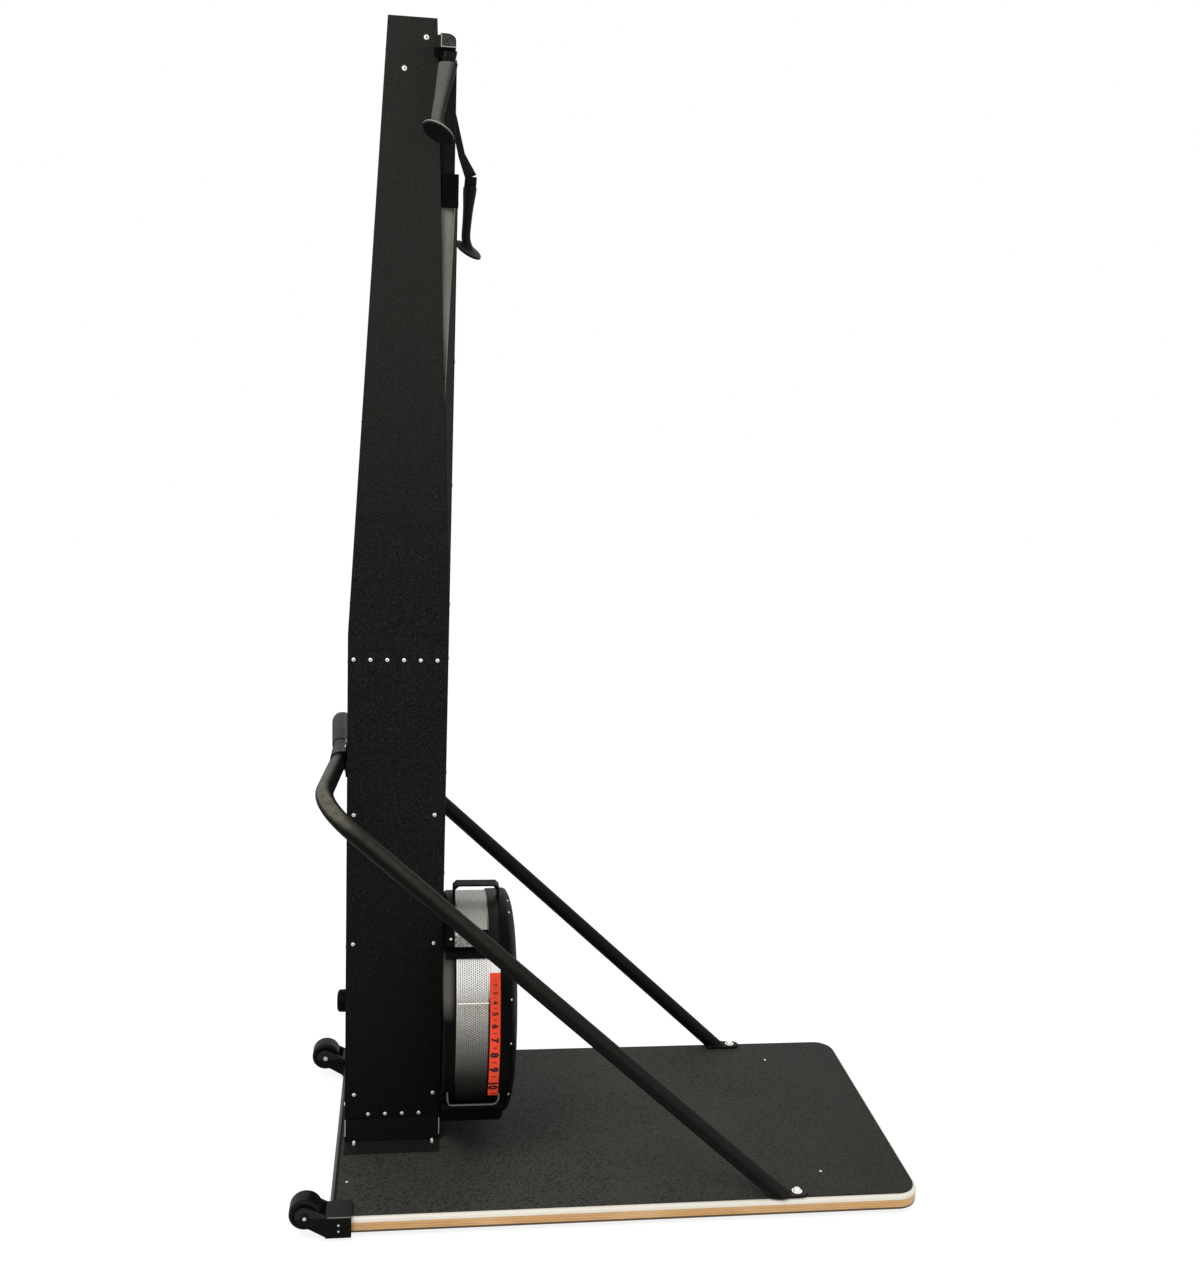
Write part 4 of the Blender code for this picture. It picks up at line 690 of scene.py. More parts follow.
screws("frame_bolts", button_head, 0.0044, bright,
       [((x, side * SIDE, z), (0, side, 0))
        for x, z in ((0.1254, 2.098), (0.0891, 2.046)) for side in (-1, 1)], 8)
screws("floor_nuts", cap_nut, 0.0032, bright,
       [((x, side * 0.075, 0.0472), (0, 0, 1)) for x in (0.0185, 0.170) for side in (-1, 1)], 7)
screws("board_screws", pan_head, 0.0026, bright,
       [((x, y, 0.0439), (0, 0, 1))
        for x, y in ((0.011, -0.194), (0.011, 0.194), (0.919, 0.219), (0.919, -0.219))], 5)
screws("fork_screws", pan_head, 0.0016, zinc,
       [((0.0020, side * 0.3128, z), (0, side, 0)) for z in (0.034, 0.022) for side in (-1, 1)], 5)


# ---------------- mast
# The square steel tube inside the tower that carries everything, on its base plate. Grey
# primer over mill scale, only seen through the openings.
primer = powder_coat("mast_primer", grey(0.10, 1), grey(0.15, 0.97), 0.6, 0.003)
softened("square_mast", "mast", 0.0015, primer, "mast_steel")
softened("mast_foot_plate", "mast_base_plate", 0.0008, primer, "mast_steel")


# ---------------- strap duct
# Grey folded channel up the front of the upper tower, in which the straps and the return
# cord run. Satin paint with faint marks drawn along it by handling.
duct_grey = powder_coat("duct_grey_paint", (0.175, 0.172, 0.152), (0.23, 0.226, 0.20), 0.46,
                        0.0016, 0.00005, 0.07)
drawn = duct_grey.noise(0.004, 3.0, (1, 1, 0.06))
duct_grey.tint((0.115, 0.112, 0.098), drawn.between(0.5, 0.75) * 0.5)
# Painted light: the channel is lighter low down.
duct_grey.tint(grey(0.85), (1 - duct_grey.axis(2).between(1.44, 1.72)) * 0.85)
# Painted shade: above the console's foot the channel is black.
duct_grey.tint(grey(0.0040, 0.93), duct_grey.axis(2) > 1.823)
softened("grey_strap_duct", "strap_duct", 0.0006, duct_grey, "grey_sheet")


# ---------------- brace
# Steel tube: a crossbar in a clamp behind the tower, and two legs that slip over its ends,
# bend forward and run down to a welded foot tab on the board. Semi-gloss powder coat.
def ways(path):
    """The direction of a path at each of its points."""
    last = len(path) - 1
    return [(path[min(i + 1, last)] - path[max(i - 1, 0)]).normalized() for i in range(last + 1)]


def swept(path, radius, sides=32, grow=None):
    """A round bar along path. grow(number of the point) scales its radius there, if given."""
    rings = []
    side = None
    for i, (point, along) in enumerate(zip(path, ways(path))):
        if side is None:
            side = along.cross(Vector((0.13, 0.31, 0.94))).normalized()
        side = (side - along * side.dot(along)).normalized()
        up = along.cross(side)
        size = radius * (grow(i) if grow else 1)
        rings.append([point + (side * c + up * s) * size for c, s in circle(sides)])
    return lofted(rings)


def bar_point(side, along):
    middle = Vector((-0.0150, 0, 0.8135))
    corner = Vector((-0.034, side * 0.315, 0.822))
    return middle + (corner - middle).normalized() * along


# Painted highlight on the upper side of the tubes, where the normals point up, left and back. It fades
# downwards and on the far side, and is broken into patches.
tube_coat = powder_coat("tube_powder_coat", grey(0.0030, 0.93), grey(0.0080), 0.42, 0.0012, 0.00004,
                        0.06)
lamp_side_highlight = tube_coat.node("ShaderNodeVectorMath", {"operation": "DOT_PRODUCT"},
                        {0: tube_coat.node("ShaderNodeTexCoord", output=1),
                         1: (-0.25, -0.58, 0.77)}, 1).between(0.50, 0.84)
height = tube_coat.axis(2).between(0.35, 0.84)
highlight_breakup = tube_coat.noise(0.012, 3.0).between(0.3, 0.7) * 0.4 + 0.6
highlight_breakup = highlight_breakup * (1 - tube_coat.axis(1).between(-0.1, 0.0) * 0.8)
tube_coat.tint((0.165, 0.153, 0.126), lamp_side_highlight * lamp_side_highlight * highlight_breakup * (height * height * 0.75 + 0.25))
TUBE = 0.01555
TAB_TOP, TAB_Y = 0.0492, 0.2885
reach = [-0.127] + [-0.126 + 0.252 * k / 6 for k in range(7)] + [0.127]
crossbar = swept([spot(*bar_point(-1 if a < 0 else 1, abs(a))) for a in reach], 0.0138, 32,
                 lambda i: 0.93 if i in (0, 8) else 1)
hung("brace_crossbar", crossbar, "base", tube_coat, "tube_paint", "crossbar")
softened("crossbar_saddle", "crossbar_clamp", 0.0010, tube_coat, "tube_paint")
for side, word in ((-1, "left"), (1, "right")):
    start = bar_point(side, 0.0723)
    corner = Vector((-0.034, side * 0.315, 0.822))
    foot = Vector((0.8137, side * 0.2915, 0.050))
    into, out = (corner - start).normalized(), (foot - corner).normalized()
    a, b = corner - into * 0.085, corner + out * 0.085
    route = [start, start + into * 0.0008, start + into * 0.0022]
    route += [a * (1 - t) ** 2 + corner * 2 * t * (1 - t) + b * t ** 2
              for t in [k / 20 for k in range(21)]]
    route += [b + (foot - b) * k / 6 for k in range(1, 6)] + [foot + out * TUBE]
    leg = swept([spot(*p) for p in route], TUBE, 40, lambda i: (0.93, 0.985, 1)[min(i, 2)])
    shape = bmesh.new()
    shape.from_mesh(leg)
    bmesh.ops.bisect_plane(shape, geom=shape.verts[:] + shape.edges[:] + shape.faces[:],
                           plane_co=(0, 0, 0.0446), plane_no=(0, 0, -1), clear_outer=True)
    bmesh.ops.holes_fill(shape, edges=[e for e in shape.edges if e.is_boundary])
    shape.to_mesh(leg)
    shape.free()
    hung(word + "_leg_tube", smoothed(leg), "base", tube_coat, "tube_paint", word + "_brace_leg")
    tab = slab(0.7977, 0.8722, 0.0140, (0.0139, 0.001),
               [(0.0442, 0.0003), (0.0446, 0.0), (0.0484, 0.0), (TAB_TOP, 0.0008)])
    tab.transform(Matrix.Translation((0, side * TAB_Y, 0)))
    hung(word + "_foot_tab", tab, "base", tube_coat, "tube_paint")
    landing = foot + out * ((TAB_TOP - foot.z) / out.z)
    flat_out = Vector((out.x, out.y, 0)).normalized()
    across = Vector((-flat_out.y, flat_out.x, 0))
    bead = [spot(*(landing + flat_out * c * TUBE / abs(out.z) + across * s * TUBE))
            for c, s in arc(0, 360, 48)]
    bead = [p for p in bead if abs(p.y) < 0.302 and p.x - rear > 0.799]
    first = max(range(len(bead)), key=lambda n: (bead[n] - bead[n - 1]).length)
    hung(word + "_weld_bead", swept(bead[first:] + bead[:first], 0.0022, 10,
                                    lambda i: 1 + 0.22 * sin(i * 2.1)),
         "base", tube_coat, "tube_paint")
    bolt = [(0.014, 0.0, 0), (0.014, 0.0040, 0.0005), (0.0490, 0.0040, 0), (0.0493, 0.0098, 0.0003),
            (0.0505, 0.0098, 0.0003), (0.0506, 0.0075, 0), (0.0530, 0.0073, 0.0006),
            (0.0560, 0.0045, 0.0012), (0.0560, 0.0030, 0.0002), (0.0535, 0.0028, 0.0001),
            (0.0535, 0.0, 0)]
    hung(word + "_foot_bolt", turned(bolt, "Z", spot(0.852, side * TAB_Y, 0), 40, False), "base",
         bright, "bright_steel", word + "_brace_bolt")
screws("clamp_bolts", button_head, 0.0036, zinc,
       [((-0.0043, y, z), (-1, 0, 0)) for y in (-0.018, 0.018) for z in (0.7885, 0.8385)], 2)


# ---------------- fan case
# Two moulded half cases round a perforated alloy band, all on the axle's line. The rear
# half is a plain pan. The front half is domed, with radial air slots in its flat face.
FAN_Z = 0.315
AXLE = spot(0, 0, FAN_Z)
case = Finish("moulded_case", grey(0.0012), 0.38, 0.04)
grain = case.noise(0.0006)
case.tint(grey(0.0042), grain.between(0.45, 0.75) * 0.6)
case.tint(grey(0.0055, 0.88), case.noise(0.05, 4.0).between(0.5, 0.8) * 0.5)
# Painted highlight: a lighter band round the near side of the rear shell.
rear_shell_highlight = case.axis(2).between(0.365, 0.405) * (1 - case.axis(2).between(0.448, 0.475))
rear_shell_highlight = rear_shell_highlight * (1 - case.axis(0).between(rear + 0.196, rear + 0.206))
case.tint((0.12, 0.116, 0.102), rear_shell_highlight * (case.axis(1) < -0.10) * 0.9)
case.feed("Roughness", 0.32 + case.noise(0.02, 3.0) * 0.2)
case.emboss(grain, 0.00005)
pan = [(0.2076, 0.2125, 0.0004), (0.1843, 0.2125, 0.012), (0.1843, 0.0160, 0.001),
       (0.1873, 0.0160, 0.001), (0.1873, 0.2095, 0.010), (0.2076, 0.2095, 0.0004)]
hung("fan_rear_pan", turned(pan, "X", AXLE, 144, True, 8), "base", case, "case_plastic",
     "fan_rear_shell")

dome = [(0.3035 + 0.0215 * s, 0.142 + 0.0745 * c, 0) for c, s in arc(0, 90, 12)]
inside = [(x - 0.003 * (k / 12), r - 0.003, 0) for k, (x, r, _) in enumerate(dome)]
profile = [(0.2895, 0.2165, 0.0006), *dome, (0.3250, 0.0480, 0.002), (0.3237, 0.0440, 0.001),
           (0.3237, 0.0180, 0.001), (0.3250, 0.0150, 0.001), (0.3250, 0.0, 0), (0.3220, 0.0, 0),
           *inside[::-1], (0.2895, 0.2135, 0.0004)]
SLOTS = 16
SLOT_HALF = 0.0045
outline = [(SLOT_HALF * c, middle + SLOT_HALF * s) for middle, start in ((0.0605, 180), (0.1255, 0))
           for c, s in arc(start, start + 180, 6)]
slots = bmesh.new()
for k in range(SLOTS):
    around = Matrix.Translation(AXLE) @ Matrix.Rotation(2 * pi * k / SLOTS, 4, "X")
    slots.from_mesh(lofted([[around @ Vector((x, y, z)) for y, z in outline]
                            for x in (0.318, 0.334)]))
front_case = carved(turned(profile, "X", AXLE, 144), slots)
hung("fan_front_case", smoothed(front_case), "base", case, "case_plastic", "fan_front_shell")
softened("fan_saddle", "fan_lower_saddle", 0.0020, case, "case_plastic", 3)
softened("fan_top_handle", "fan_top_guard", 0.0012, case, "case_plastic", 3)


# ---------------- fan band
# Perforated aluminium sheet bent round the case, a plain rim rolled at each edge, and a
# riveted joint strip where its ends meet on the left side.
def case_point(x, radius, angle):
    """A point round the axle: angle 0 is the left side of the machine, and it grows upwards."""
    return x, -radius * cos(angle), FAN_Z + radius * sin(angle)


alloy = Finish("brushed_band", (0.44, 0.425, 0.39), 0.30, metal=1.0)
height = alloy.axis(2)
brushed = alloy.noise(0.0012, 3.0, (0.08, 1, 1))
alloy.tint((0.235, 0.23, 0.215), brushed.between(0.42, 0.72) * 0.6)
alloy.tint((0.49, 0.48, 0.455), alloy.noise(0.02, 4.0).between(0.5, 0.8) * 0.35)
# Painted shade: the band is darker towards the bottom, in two steps.
alloy.tint((0.048, 0.047, 0.041), (1 - height.between(0.13, 0.40)) * 0.95)
alloy.tint((0.013, 0.0127, 0.011), (1 - height.between(0.25, 0.37)) * 0.85)
alloy.tint(grey(0.004), (alloy.axis(0) > rear + 0.2669) * 0.95)
# Painted light: the band is lighter along its top.
alloy.tint((0.36, 0.35, 0.325), height.between(0.49, 0.52) * 0.75)
# Painted reflection: a white, less metallic band at one height round the band.
painted_reflection = height.between(0.400, 0.437) * (1 - height.between(0.466, 0.480))
alloy.tint((1.0, 0.99, 0.97), painted_reflection * 0.92)
alloy.feed("Metallic", 1 - painted_reflection * 0.85)
alloy.feed("Roughness", 0.26 + brushed * 0.2)
alloy.emboss(brushed, 0.00004)

perforated = Recipe("perforated_sheet", {"Cell": "Object", "Across": "Int", "Around": "Int",
                                         "Pitch": "Float", "Radius": "Float",
                                         "Finish": "Material"})
add, given = perforated.node, perforated.given
grid = add("GeometryNodeMeshGrid", None, {"Size X": 1.0, "Size Y": 1.0,
                                          "Vertices X": given["Across"],
                                          "Vertices Y": given["Around"]})
share = add("GeometryNodeInputIndex") / given["Around"]
column = share.math("FLOOR", share)
row = add("GeometryNodeInputIndex") - column * given["Around"]
along = (column - (given["Across"] - 1) * 0.5) * given["Pitch"] * (3 ** 0.5 / 2)
round_it = (row + (column % 2.0) * 0.5) * given["Pitch"]
laid = add("GeometryNodeSetPosition", None,
           {"Geometry": grid, "Position": add("ShaderNodeCombineXYZ", None,
                                              {0: along, 1: round_it})})
cell = add("GeometryNodeObjectInfo", {"transform_space": "ORIGINAL"}, {"Object": given["Cell"]}, 4)
tiles = add("GeometryNodeRealizeInstances", None, {0: add(
    "GeometryNodeInstanceOnPoints", None, {"Points": laid, "Instance": cell})})
flat = add("GeometryNodeInputPosition")
angle = add("ShaderNodeSeparateXYZ", None, {0: flat}, 1) / given["Radius"]
bent = add("ShaderNodeCombineXYZ", None,
           {0: add("ShaderNodeSeparateXYZ", None, {0: flat}, 0),
            1: 0 - angle.math("COSINE", angle) * given["Radius"],
            2: angle.wave() * given["Radius"]})
wrapped = add("GeometryNodeSetPosition", None, {"Geometry": tiles, "Position": bent})
perforated.end(add("GeometryNodeMergeByDistance", None, {"Geometry": wrapped, "Distance": 0.0002}))

BAND = 0.2121
AROUND = 290
ACROSS = 15
PITCH = 2 * pi * BAND / AROUND
hole_cell = skin([(r * c, r * s, 0) for r in (PITCH / 3 ** 0.5, PITCH * 0.26) for c, s in circle(6)],
                 [(k, (k + 1) % 6, 6 + (k + 1) % 6, 6 + k) for k in range(6)])
net = perforated.make(bpy.data.meshes.new("band_seed"),
                      {"Cell": bpy.data.objects.new("hole_cell", hole_cell), "Across": ACROSS,
                       "Around": AROUND, "Pitch": PITCH, "Radius": BAND,
                       "Finish": alloy.material})
net.transform(Matrix.Translation(AXLE + Vector((0.2389, 0, 0))))
net = hung("perforated_band", outward(net), "base", alloy, "band_alloy", "fan_band")
wall = net.modifiers.new("wall", "SOLIDIFY")
wall.thickness = 0.0008
wall.offset = -1
rim = mirrored([(-0.00145, 0.2095, 0.0003), (-0.00145, 0.2125, 0.0005)])
for word, middle in (("rear", 0.20935), ("front", 0.26845)):
    hung("band_" + word + "_rim", turned(rim, "X", AXLE + Vector((middle, 0, 0)), 144), "base",
         alloy, "band_alloy")
rings = []
for k in range(9):
    lift = 0.2124 if k in (0, 8) else 0.2127
    rings.append([spot(*case_point(x, r, radians(22.65 + 0.7 * k / 8)))
                  for x, r in ((0.2095, BAND - 0.0003), (0.2095, lift), (0.2683, lift),
                               (0.2683, BAND - 0.0003))])
strip = Finish("joint_strip", (1.0, 0.98, 0.94), 0.32, metal=0.5)
strip.tint((0.8, 0.78, 0.74), strip.noise(0.002, 3.0))
hung("band_joint", lofted(rings), "base", strip, "band_alloy")


# ---------------- damper scale and lever
# A black ring with a printed red label beside the band, numbered 1 to 10, and the lever
# that slides over the band to open more or less of it.
label = Finish("scale_label", grey(0.0040, 0.95), 0.42, 0.09)
above = label.axis(2) - FAN_Z
turned_by = above.math("ARCTAN2", above, 0 - label.axis(1))
fade = label.noise(0.004, 4.0)
printed = (turned_by > radians(-29.7)) * (turned_by < radians(44.5))
label.tint((0.98, 0.085, 0.036), printed)
label.tint((0.80, 0.052, 0.028), printed * fade.between(0.5, 0.8) * 0.6)
label.tint((1.0, 0.98, 0.93), printed * (turned_by > radians(37.6)))
label.emboss(fade, 0.00004)
SCALE_X = 0.2797
ring = mirrored([(-0.0095, 0.2115, 0.0004), (-0.0095, 0.2155, 0.0005)])
hung("scale_ring", turned(ring, "X", AXLE + Vector((SCALE_X, 0, 0)), 144), "base", label,
     "scale_red", "damper_scale")

ink = Finish("printed_ink", (0.004, 0.003, 0.003), 0.5, 0.3)
ink.tint((0.02, 0.008, 0.007), ink.noise(0.0012, 3.0).between(0.55, 0.8) * 0.5)
PRINT, RING = 0.2159, 0.2155
points, faces = [], []
at = radians(35)
for number in range(1, 11):
    tall = 0.0034 + 0.0013 * number
    letters = bpy.data.curves.new("digit", "FONT")
    letters.body = str(number)
    letters.size = tall * 1.38
    letters.offset = 0.00012 * number
    letters.resolution_u = 3
    digit = baked(bpy.data.objects.new("digit", letters))
    base = len(points)
    points += [spot(*case_point(SCALE_X - tall / 2 + v.co.y, PRINT, at - v.co.x / RING))
               for v in digit.vertices]
    faces += [tuple(base + i for i in f.vertices) for f in digit.polygons]
    at -= max(v.co.x for v in digit.vertices) / RING
    stroke = 0.0008 + 0.0001 * number
    gap = 0.0066 + 0.0018 * number
    base = len(points)
    points += [spot(*case_point(SCALE_X + end * tall * 0.28, PRINT,
                                at + (way * stroke - gap) / 2 / RING))
               for end, way in ((-1, -1), (1, -1), (1, 1), (-1, 1))]
    faces.append((base, base + 1, base + 2, base + 3))
    at -= gap / RING
hung("scale_numbers", skin(points, faces), "base", ink, "scale_red")

slide_black = Finish("slider_plastic", grey(0.0014), 0.34, 0.04)
ahead, high = slide_black.axis(0) - rear, slide_black.axis(2)
pad = (ahead > 0.2045) * (ahead < 0.2465) * (high > 0.4885) * (high < 0.5065)
slide_black.tint(grey(0.42), pad * slide_black.noise(0.004, 3.0).between(0.25, 0.7))
slide_black.emboss(slide_black.noise(0.0006), 0.00005)
softened("damper_slider", "damper_lever", 0.0012, slide_black, "case_plastic", 3)
places = []
for x, angle, out in ((0.1970, 53.6, 0.2289), (0.2072, 56.0, 0.2289), (0.2628, 46.8, 0.2164),
                      (0.2150, 59.2, 0.2164)):
    a = radians(angle)
    places.append((case_point(x, out, a), (0, -cos(a), sin(a))))
screws("slider_screws", pan_head, 0.0024, bright, places, 4, "damper")
places = []
for angle in (84.5, 73.5, 24.5, 2.8, -30, 106.5, 155.5, 177.2, 210):
    a = radians(angle)
    places.append((case_point(0.3095, 0.2135, a), (0.71, -0.70 * cos(a), 0.70 * sin(a))))
screws("case_screws", pan_head, 0.0020, bright, places, 6)
clip_grey = powder_coat("clip_grey_paint", grey(0.085), grey(0.16), 0.45)
wire = ((0.1945, 0.2135, -27.5), (0.1950, 0.2290, -28.0), (0.1975, 0.2300, -30.8),
        (0.2010, 0.2300, -31.6), (0.2800, 0.2300, -31.6), (0.2850, 0.2300, -30.8),
        (0.2900, 0.2290, -28.0), (0.2905, 0.2168, -27.5))
for side, word in ((-1, "left"), (1, "right")):
    route = [spot(*case_point(x, r, radians(a if side < 0 else 180 - a))) for x, r, a in wire]
    hung(word + "_case_clip", swept(route, 0.0017, 12), "base", clip_grey, "bright_steel")


# ---------------- fan wheel and drive
# Cast alloy wheel on a bright shaft in two ball bearings, with two strap drums behind it
# inside the tower and a moulded cap over the axle's end at the back.
cast = Finish("cast_alloy", grey(0.36, 0.97), 0.5, metal=0.7)
crust = cast.noise(0.0014, 4.0)
cast.tint(grey(0.22, 0.98), crust.between(0.45, 0.75) * 0.6)
cast.feed("Roughness", 0.42 + crust * 0.25)
cast.emboss(crust, 0.0001)
softened("fan_wheel", "fan_rotor", 0.0005, cast, "cast_alloy", 1, 40)
shaft = [(-0.0070, 0.0, 0), (-0.0070, 0.0098, 0.0008), (0.3000, 0.0098, 0.0008), (0.3000, 0.0, 0)]
hung("fan_axle", turned(shaft, "X", AXLE, 40, False), "fan", zinc, "bright_steel", "fan_shaft")
race = [(0.0, 0.0103, 0.0002), (0.0, 0.0150, 0.0003), (0.0012, 0.0158, 0.0003),
        (0.0012, 0.0212, 0.0003), (0.0, 0.0220, 0.0003), (0.0, 0.0260, 0.0008),
        (0.0100, 0.0260, 0.0008), (0.0100, 0.0103, 0.0002)]
for word, start in (("rear", 0.0577), ("front", 0.1283)):
    hung(word + "_ball_bearing", turned(race, "X", AXLE + Vector((start, 0, 0)), 64), "base", zinc,
         "bright_steel", word + "_bearing")
drum = mirrored([(-0.0085, 0.0103, 0.0003), (-0.0085, 0.0350, 0.0005), (-0.0070, 0.0350, 0.0005),
                 (-0.0070, 0.0270, 0.0003)])
LEFT_DRUM, RIGHT_DRUM = 0.149, 0.1695
for word, middle in (("left", LEFT_DRUM), ("right", RIGHT_DRUM)):
    hung(word + "_drum_wheel", turned(drum, "X", AXLE + Vector((middle, 0, 0)), 64),
         word + "_drum", cast, "cast_alloy", word + "_strap_drum")
cap = [(-0.0150, 0.0, 0), (-0.0150, 0.0180, 0.0004), (-0.0003, 0.0180, 0.0003),
       (-0.0003, 0.0220, 0.0005), (-0.0155, 0.0217, 0.004), (-0.0185, 0.0160, 0.002),
       (-0.0190, 0.0, 0)]
hung("axle_end_cap", turned(cap, "X", AXLE, 64, False, 6), "base", case, "case_plastic", "axle_cap")


# ---------------- pulley head
# A hollow black crosspiece at the top front with a rounded shoulder. Each end is closed by
# a plug in a thin lip, painted light as a highlight, and four small pulleys turn inside.
head_coat = powder_coat("head_powder_coat", grey(0.0055), grey(0.0150), 0.36, gloss=0.09)
softened("head_crosspiece", "pulley_head", 0.0009, head_coat, "tower_paint", 2, 35)
plug_black = Finish("block_plastic", grey(0.0022), 0.45, 0.08)
plug_black.tint(grey(0.008), plug_black.noise(0.002, 3.0).between(0.5, 0.7))
plug = Finish("end_plug", grey(0.016), 0.6, 0.08)
plug.tint((0.10, 0.098, 0.088), plug.noise(0.0026, 3.0).between(0.48, 0.62) * 0.7)
# Painted highlight: the lip is light, but dark on its upper front part.
lip = powder_coat("worn_lip", grey(0.30, 0.93), grey(0.45, 0.93), 0.4)
lip.tint(grey(0.012, 0.92), (lip.axis(2) > 2.0712) * (lip.axis(0) > rear + 0.1505))
PULLEY_X, PULLEY_Z, INNER_Y, OUTER_Y = 0.161, 2.0769, 0.03655, 0.11295
sheave = mirrored([(-0.00825, 0.0023, 0.0001), (-0.00825, 0.0055, 0.0003),
                   (-0.0070, 0.0055, 0.0002), (-0.0066, 0.0052, 0.0002)])
for side, word in ((-1, "left"), (1, "right")):
    for part, inset, depth, finish in (("lip", 0.0012, 0.0002, lip), ("plug", 0.0026, 0.0005, plug)):
        low, high, top = 0.148 + inset, 0.174 - inset, 2.0905 - inset
        deep, drop = 0.016 - inset / 2, 0.010 - inset / 2
        outline = [(low, 2.068 + inset), (high, 2.068 + inset)]
        outline += [(high - deep * (1 - c), top - drop * (1 - s)) for c, s in arc(0, 90, 10)]
        outline += [(low, top)]
        rings = [[spot(x, side * y, z) for x, z in outline] for y in (0.1362, 0.137 + depth)]
        hung(word + "_head_" + part, lofted(rings), "base", finish, "tower_paint")
    for place, y, body in (("inner", INNER_Y, "in"), ("outer", OUTER_Y, "out")):
        hung(word + "_" + place + "_sheave",
             turned(sheave, "X", spot(PULLEY_X, side * y, PULLEY_Z), 48),
             word + "_roller_" + body, cast, "cast_alloy", word + "_" + place + "_pulley")
screws("head_bolts", button_head, 0.0030, zinc,
       [((0.1545, side * y, 2.0905), (0, 0, 1)) for y in (0.020, 0.110) for side in (-1, 1)], 9)


# ---------------- straps and return cord
# Black nylon webbing, 13 mm wide, woven in a fine herringbone with rounded selvedges, from
# each drum up the duct, over two pulleys and down to its handle, and one elastic cord. The
# right strap hangs free, and spreads to its sewn loop at the handle.
web = Finish("black_webbing", grey(0.0075), 0.8, 0.12)
web.shader.inputs["Sheen Weight"].default_value = 0.12
weft = (web.axis(2) * (2 * pi / 0.0011)).wave()
warp = ((web.axis(0) + web.axis(1)) * (2 * pi / 0.0016) + web.axis(2) * (2 * pi / 0.0032)).wave()
thread = weft * warp * 0.5 + 0.5
web.tint(grey(0.028), thread.between(0.3, 0.9) * 0.7)
web.tint(grey(0.020), web.noise(0.02, 4.0).between(0.45, 0.75) * 0.5)
web.emboss(thread, 0.0002)
THICK = 0.0025


def webbing(path, spread=None):
    """A strap along path, with its width along X and round edges. spread(share of the way)
    gives the width."""
    rings = []
    for i, (point, along) in enumerate(zip(path, ways(path))):
        wide = spread(i / (len(path) - 1)) if spread else 0.013
        normal = Vector((1, 0, 0)).cross(along).normalized()
        wide_way = along.cross(normal)
        rings.append([point + normal * (THICK / 2 * s)
                      + wide_way * ((wide - THICK) / 2 * (1 if c > 0 else -1) + THICK / 2 * c)
                      for c, s in arc(11.25, 371.25, 16)[:-1]])
    return lofted(rings)


CLEAR = 0.0003 + THICK / 2
TURN = 0.0055 + CLEAR
STRAP_Y = 0.120
for side, word, drum, x, low in ((-1, "left", LEFT_DRUM, 0.1655, 2.0658),
                                 (1, "right", RIGHT_DRUM, 0.2120, 1.8988)):
    leave = 0.027 + CLEAR
    path = [(drum, side * leave, FAN_Z), (drum, side * leave, 0.350),
            (PULLEY_X, side * 0.0295, 1.013), (PULLEY_X, side * 0.0295, PULLEY_Z)]
    path += [(PULLEY_X, side * (INNER_Y - TURN * c), PULLEY_Z + TURN * s)
             for c, s in arc(0, 90, 8)[1:]]
    path += [(PULLEY_X, side * (OUTER_Y + TURN * s), PULLEY_Z + TURN * c)
             for c, s in arc(0, 90, 8)]
    path += [(PULLEY_X, side * STRAP_Y, 2.068)]
    hung(word + "_run_strap", webbing([spot(*p) for p in path]), "base", web, "webbing",
         word + "_inner_strap")
    top, end = spot(PULLEY_X, side * STRAP_Y, 2.0677), spot(x, side * STRAP_Y, low)
    steps = 2 if side < 0 else 40
    line = [top.lerp(end, k / steps) for k in range(steps + 1)]
    if side > 0:
        for k, point in enumerate(line):
            t = k / steps
            point.x -= 0.0065 * (t / 0.78 if t < 0.78 else (1 - t) / 0.22)
    drop = webbing(line, lambda t: 0.013 if side < 0 else 0.013 + 0.0095 * max(0.0, t - 0.76) / 0.24)
    drop.materials.append(web.material)
    drop = bpy.data.objects.new(word + "_drop_strap", drop)
    scene.collection.objects.link(drop)
    word + "_grip"
    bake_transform(drop)
    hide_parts(word + "_handle_strap")

cord = Finish("elastic_cord", grey(0.014, 0.93), 0.75, 0.2)
rise = cord.axis(2) * (2 * pi / 0.0030)
braid = ((rise + cord.axis(1) * (2 * pi / 0.0024)).wave()
         * (rise - cord.axis(0) * (2 * pi / 0.0024)).wave())
cord.tint(grey(0.05, 0.92), braid.between(0.2, 0.8) * 0.7)
cord.emboss(braid, 0.0002)
low_y, crown, back_x = 0.0303, 0.0153, 0.1355
path = [(LEFT_DRUM, low_y, FAN_Z), (LEFT_DRUM, low_y, 0.365), (LEFT_DRUM, crown, 0.565),
        (back_x, crown, 1.30)]
path += [(back_x, crown * c, 1.70 + crown * s) for c, s in arc(0, 180, 16)]
path += [(back_x, -crown, 1.30), (RIGHT_DRUM, -crown, 0.565), (RIGHT_DRUM, -low_y, 0.365),
         (RIGHT_DRUM, -low_y, FAN_Z)]
hung("elastic_return_cord", swept([spot(*p) for p in path], 0.003, 16), "base", cord, "webbing",
     "return_bungee")


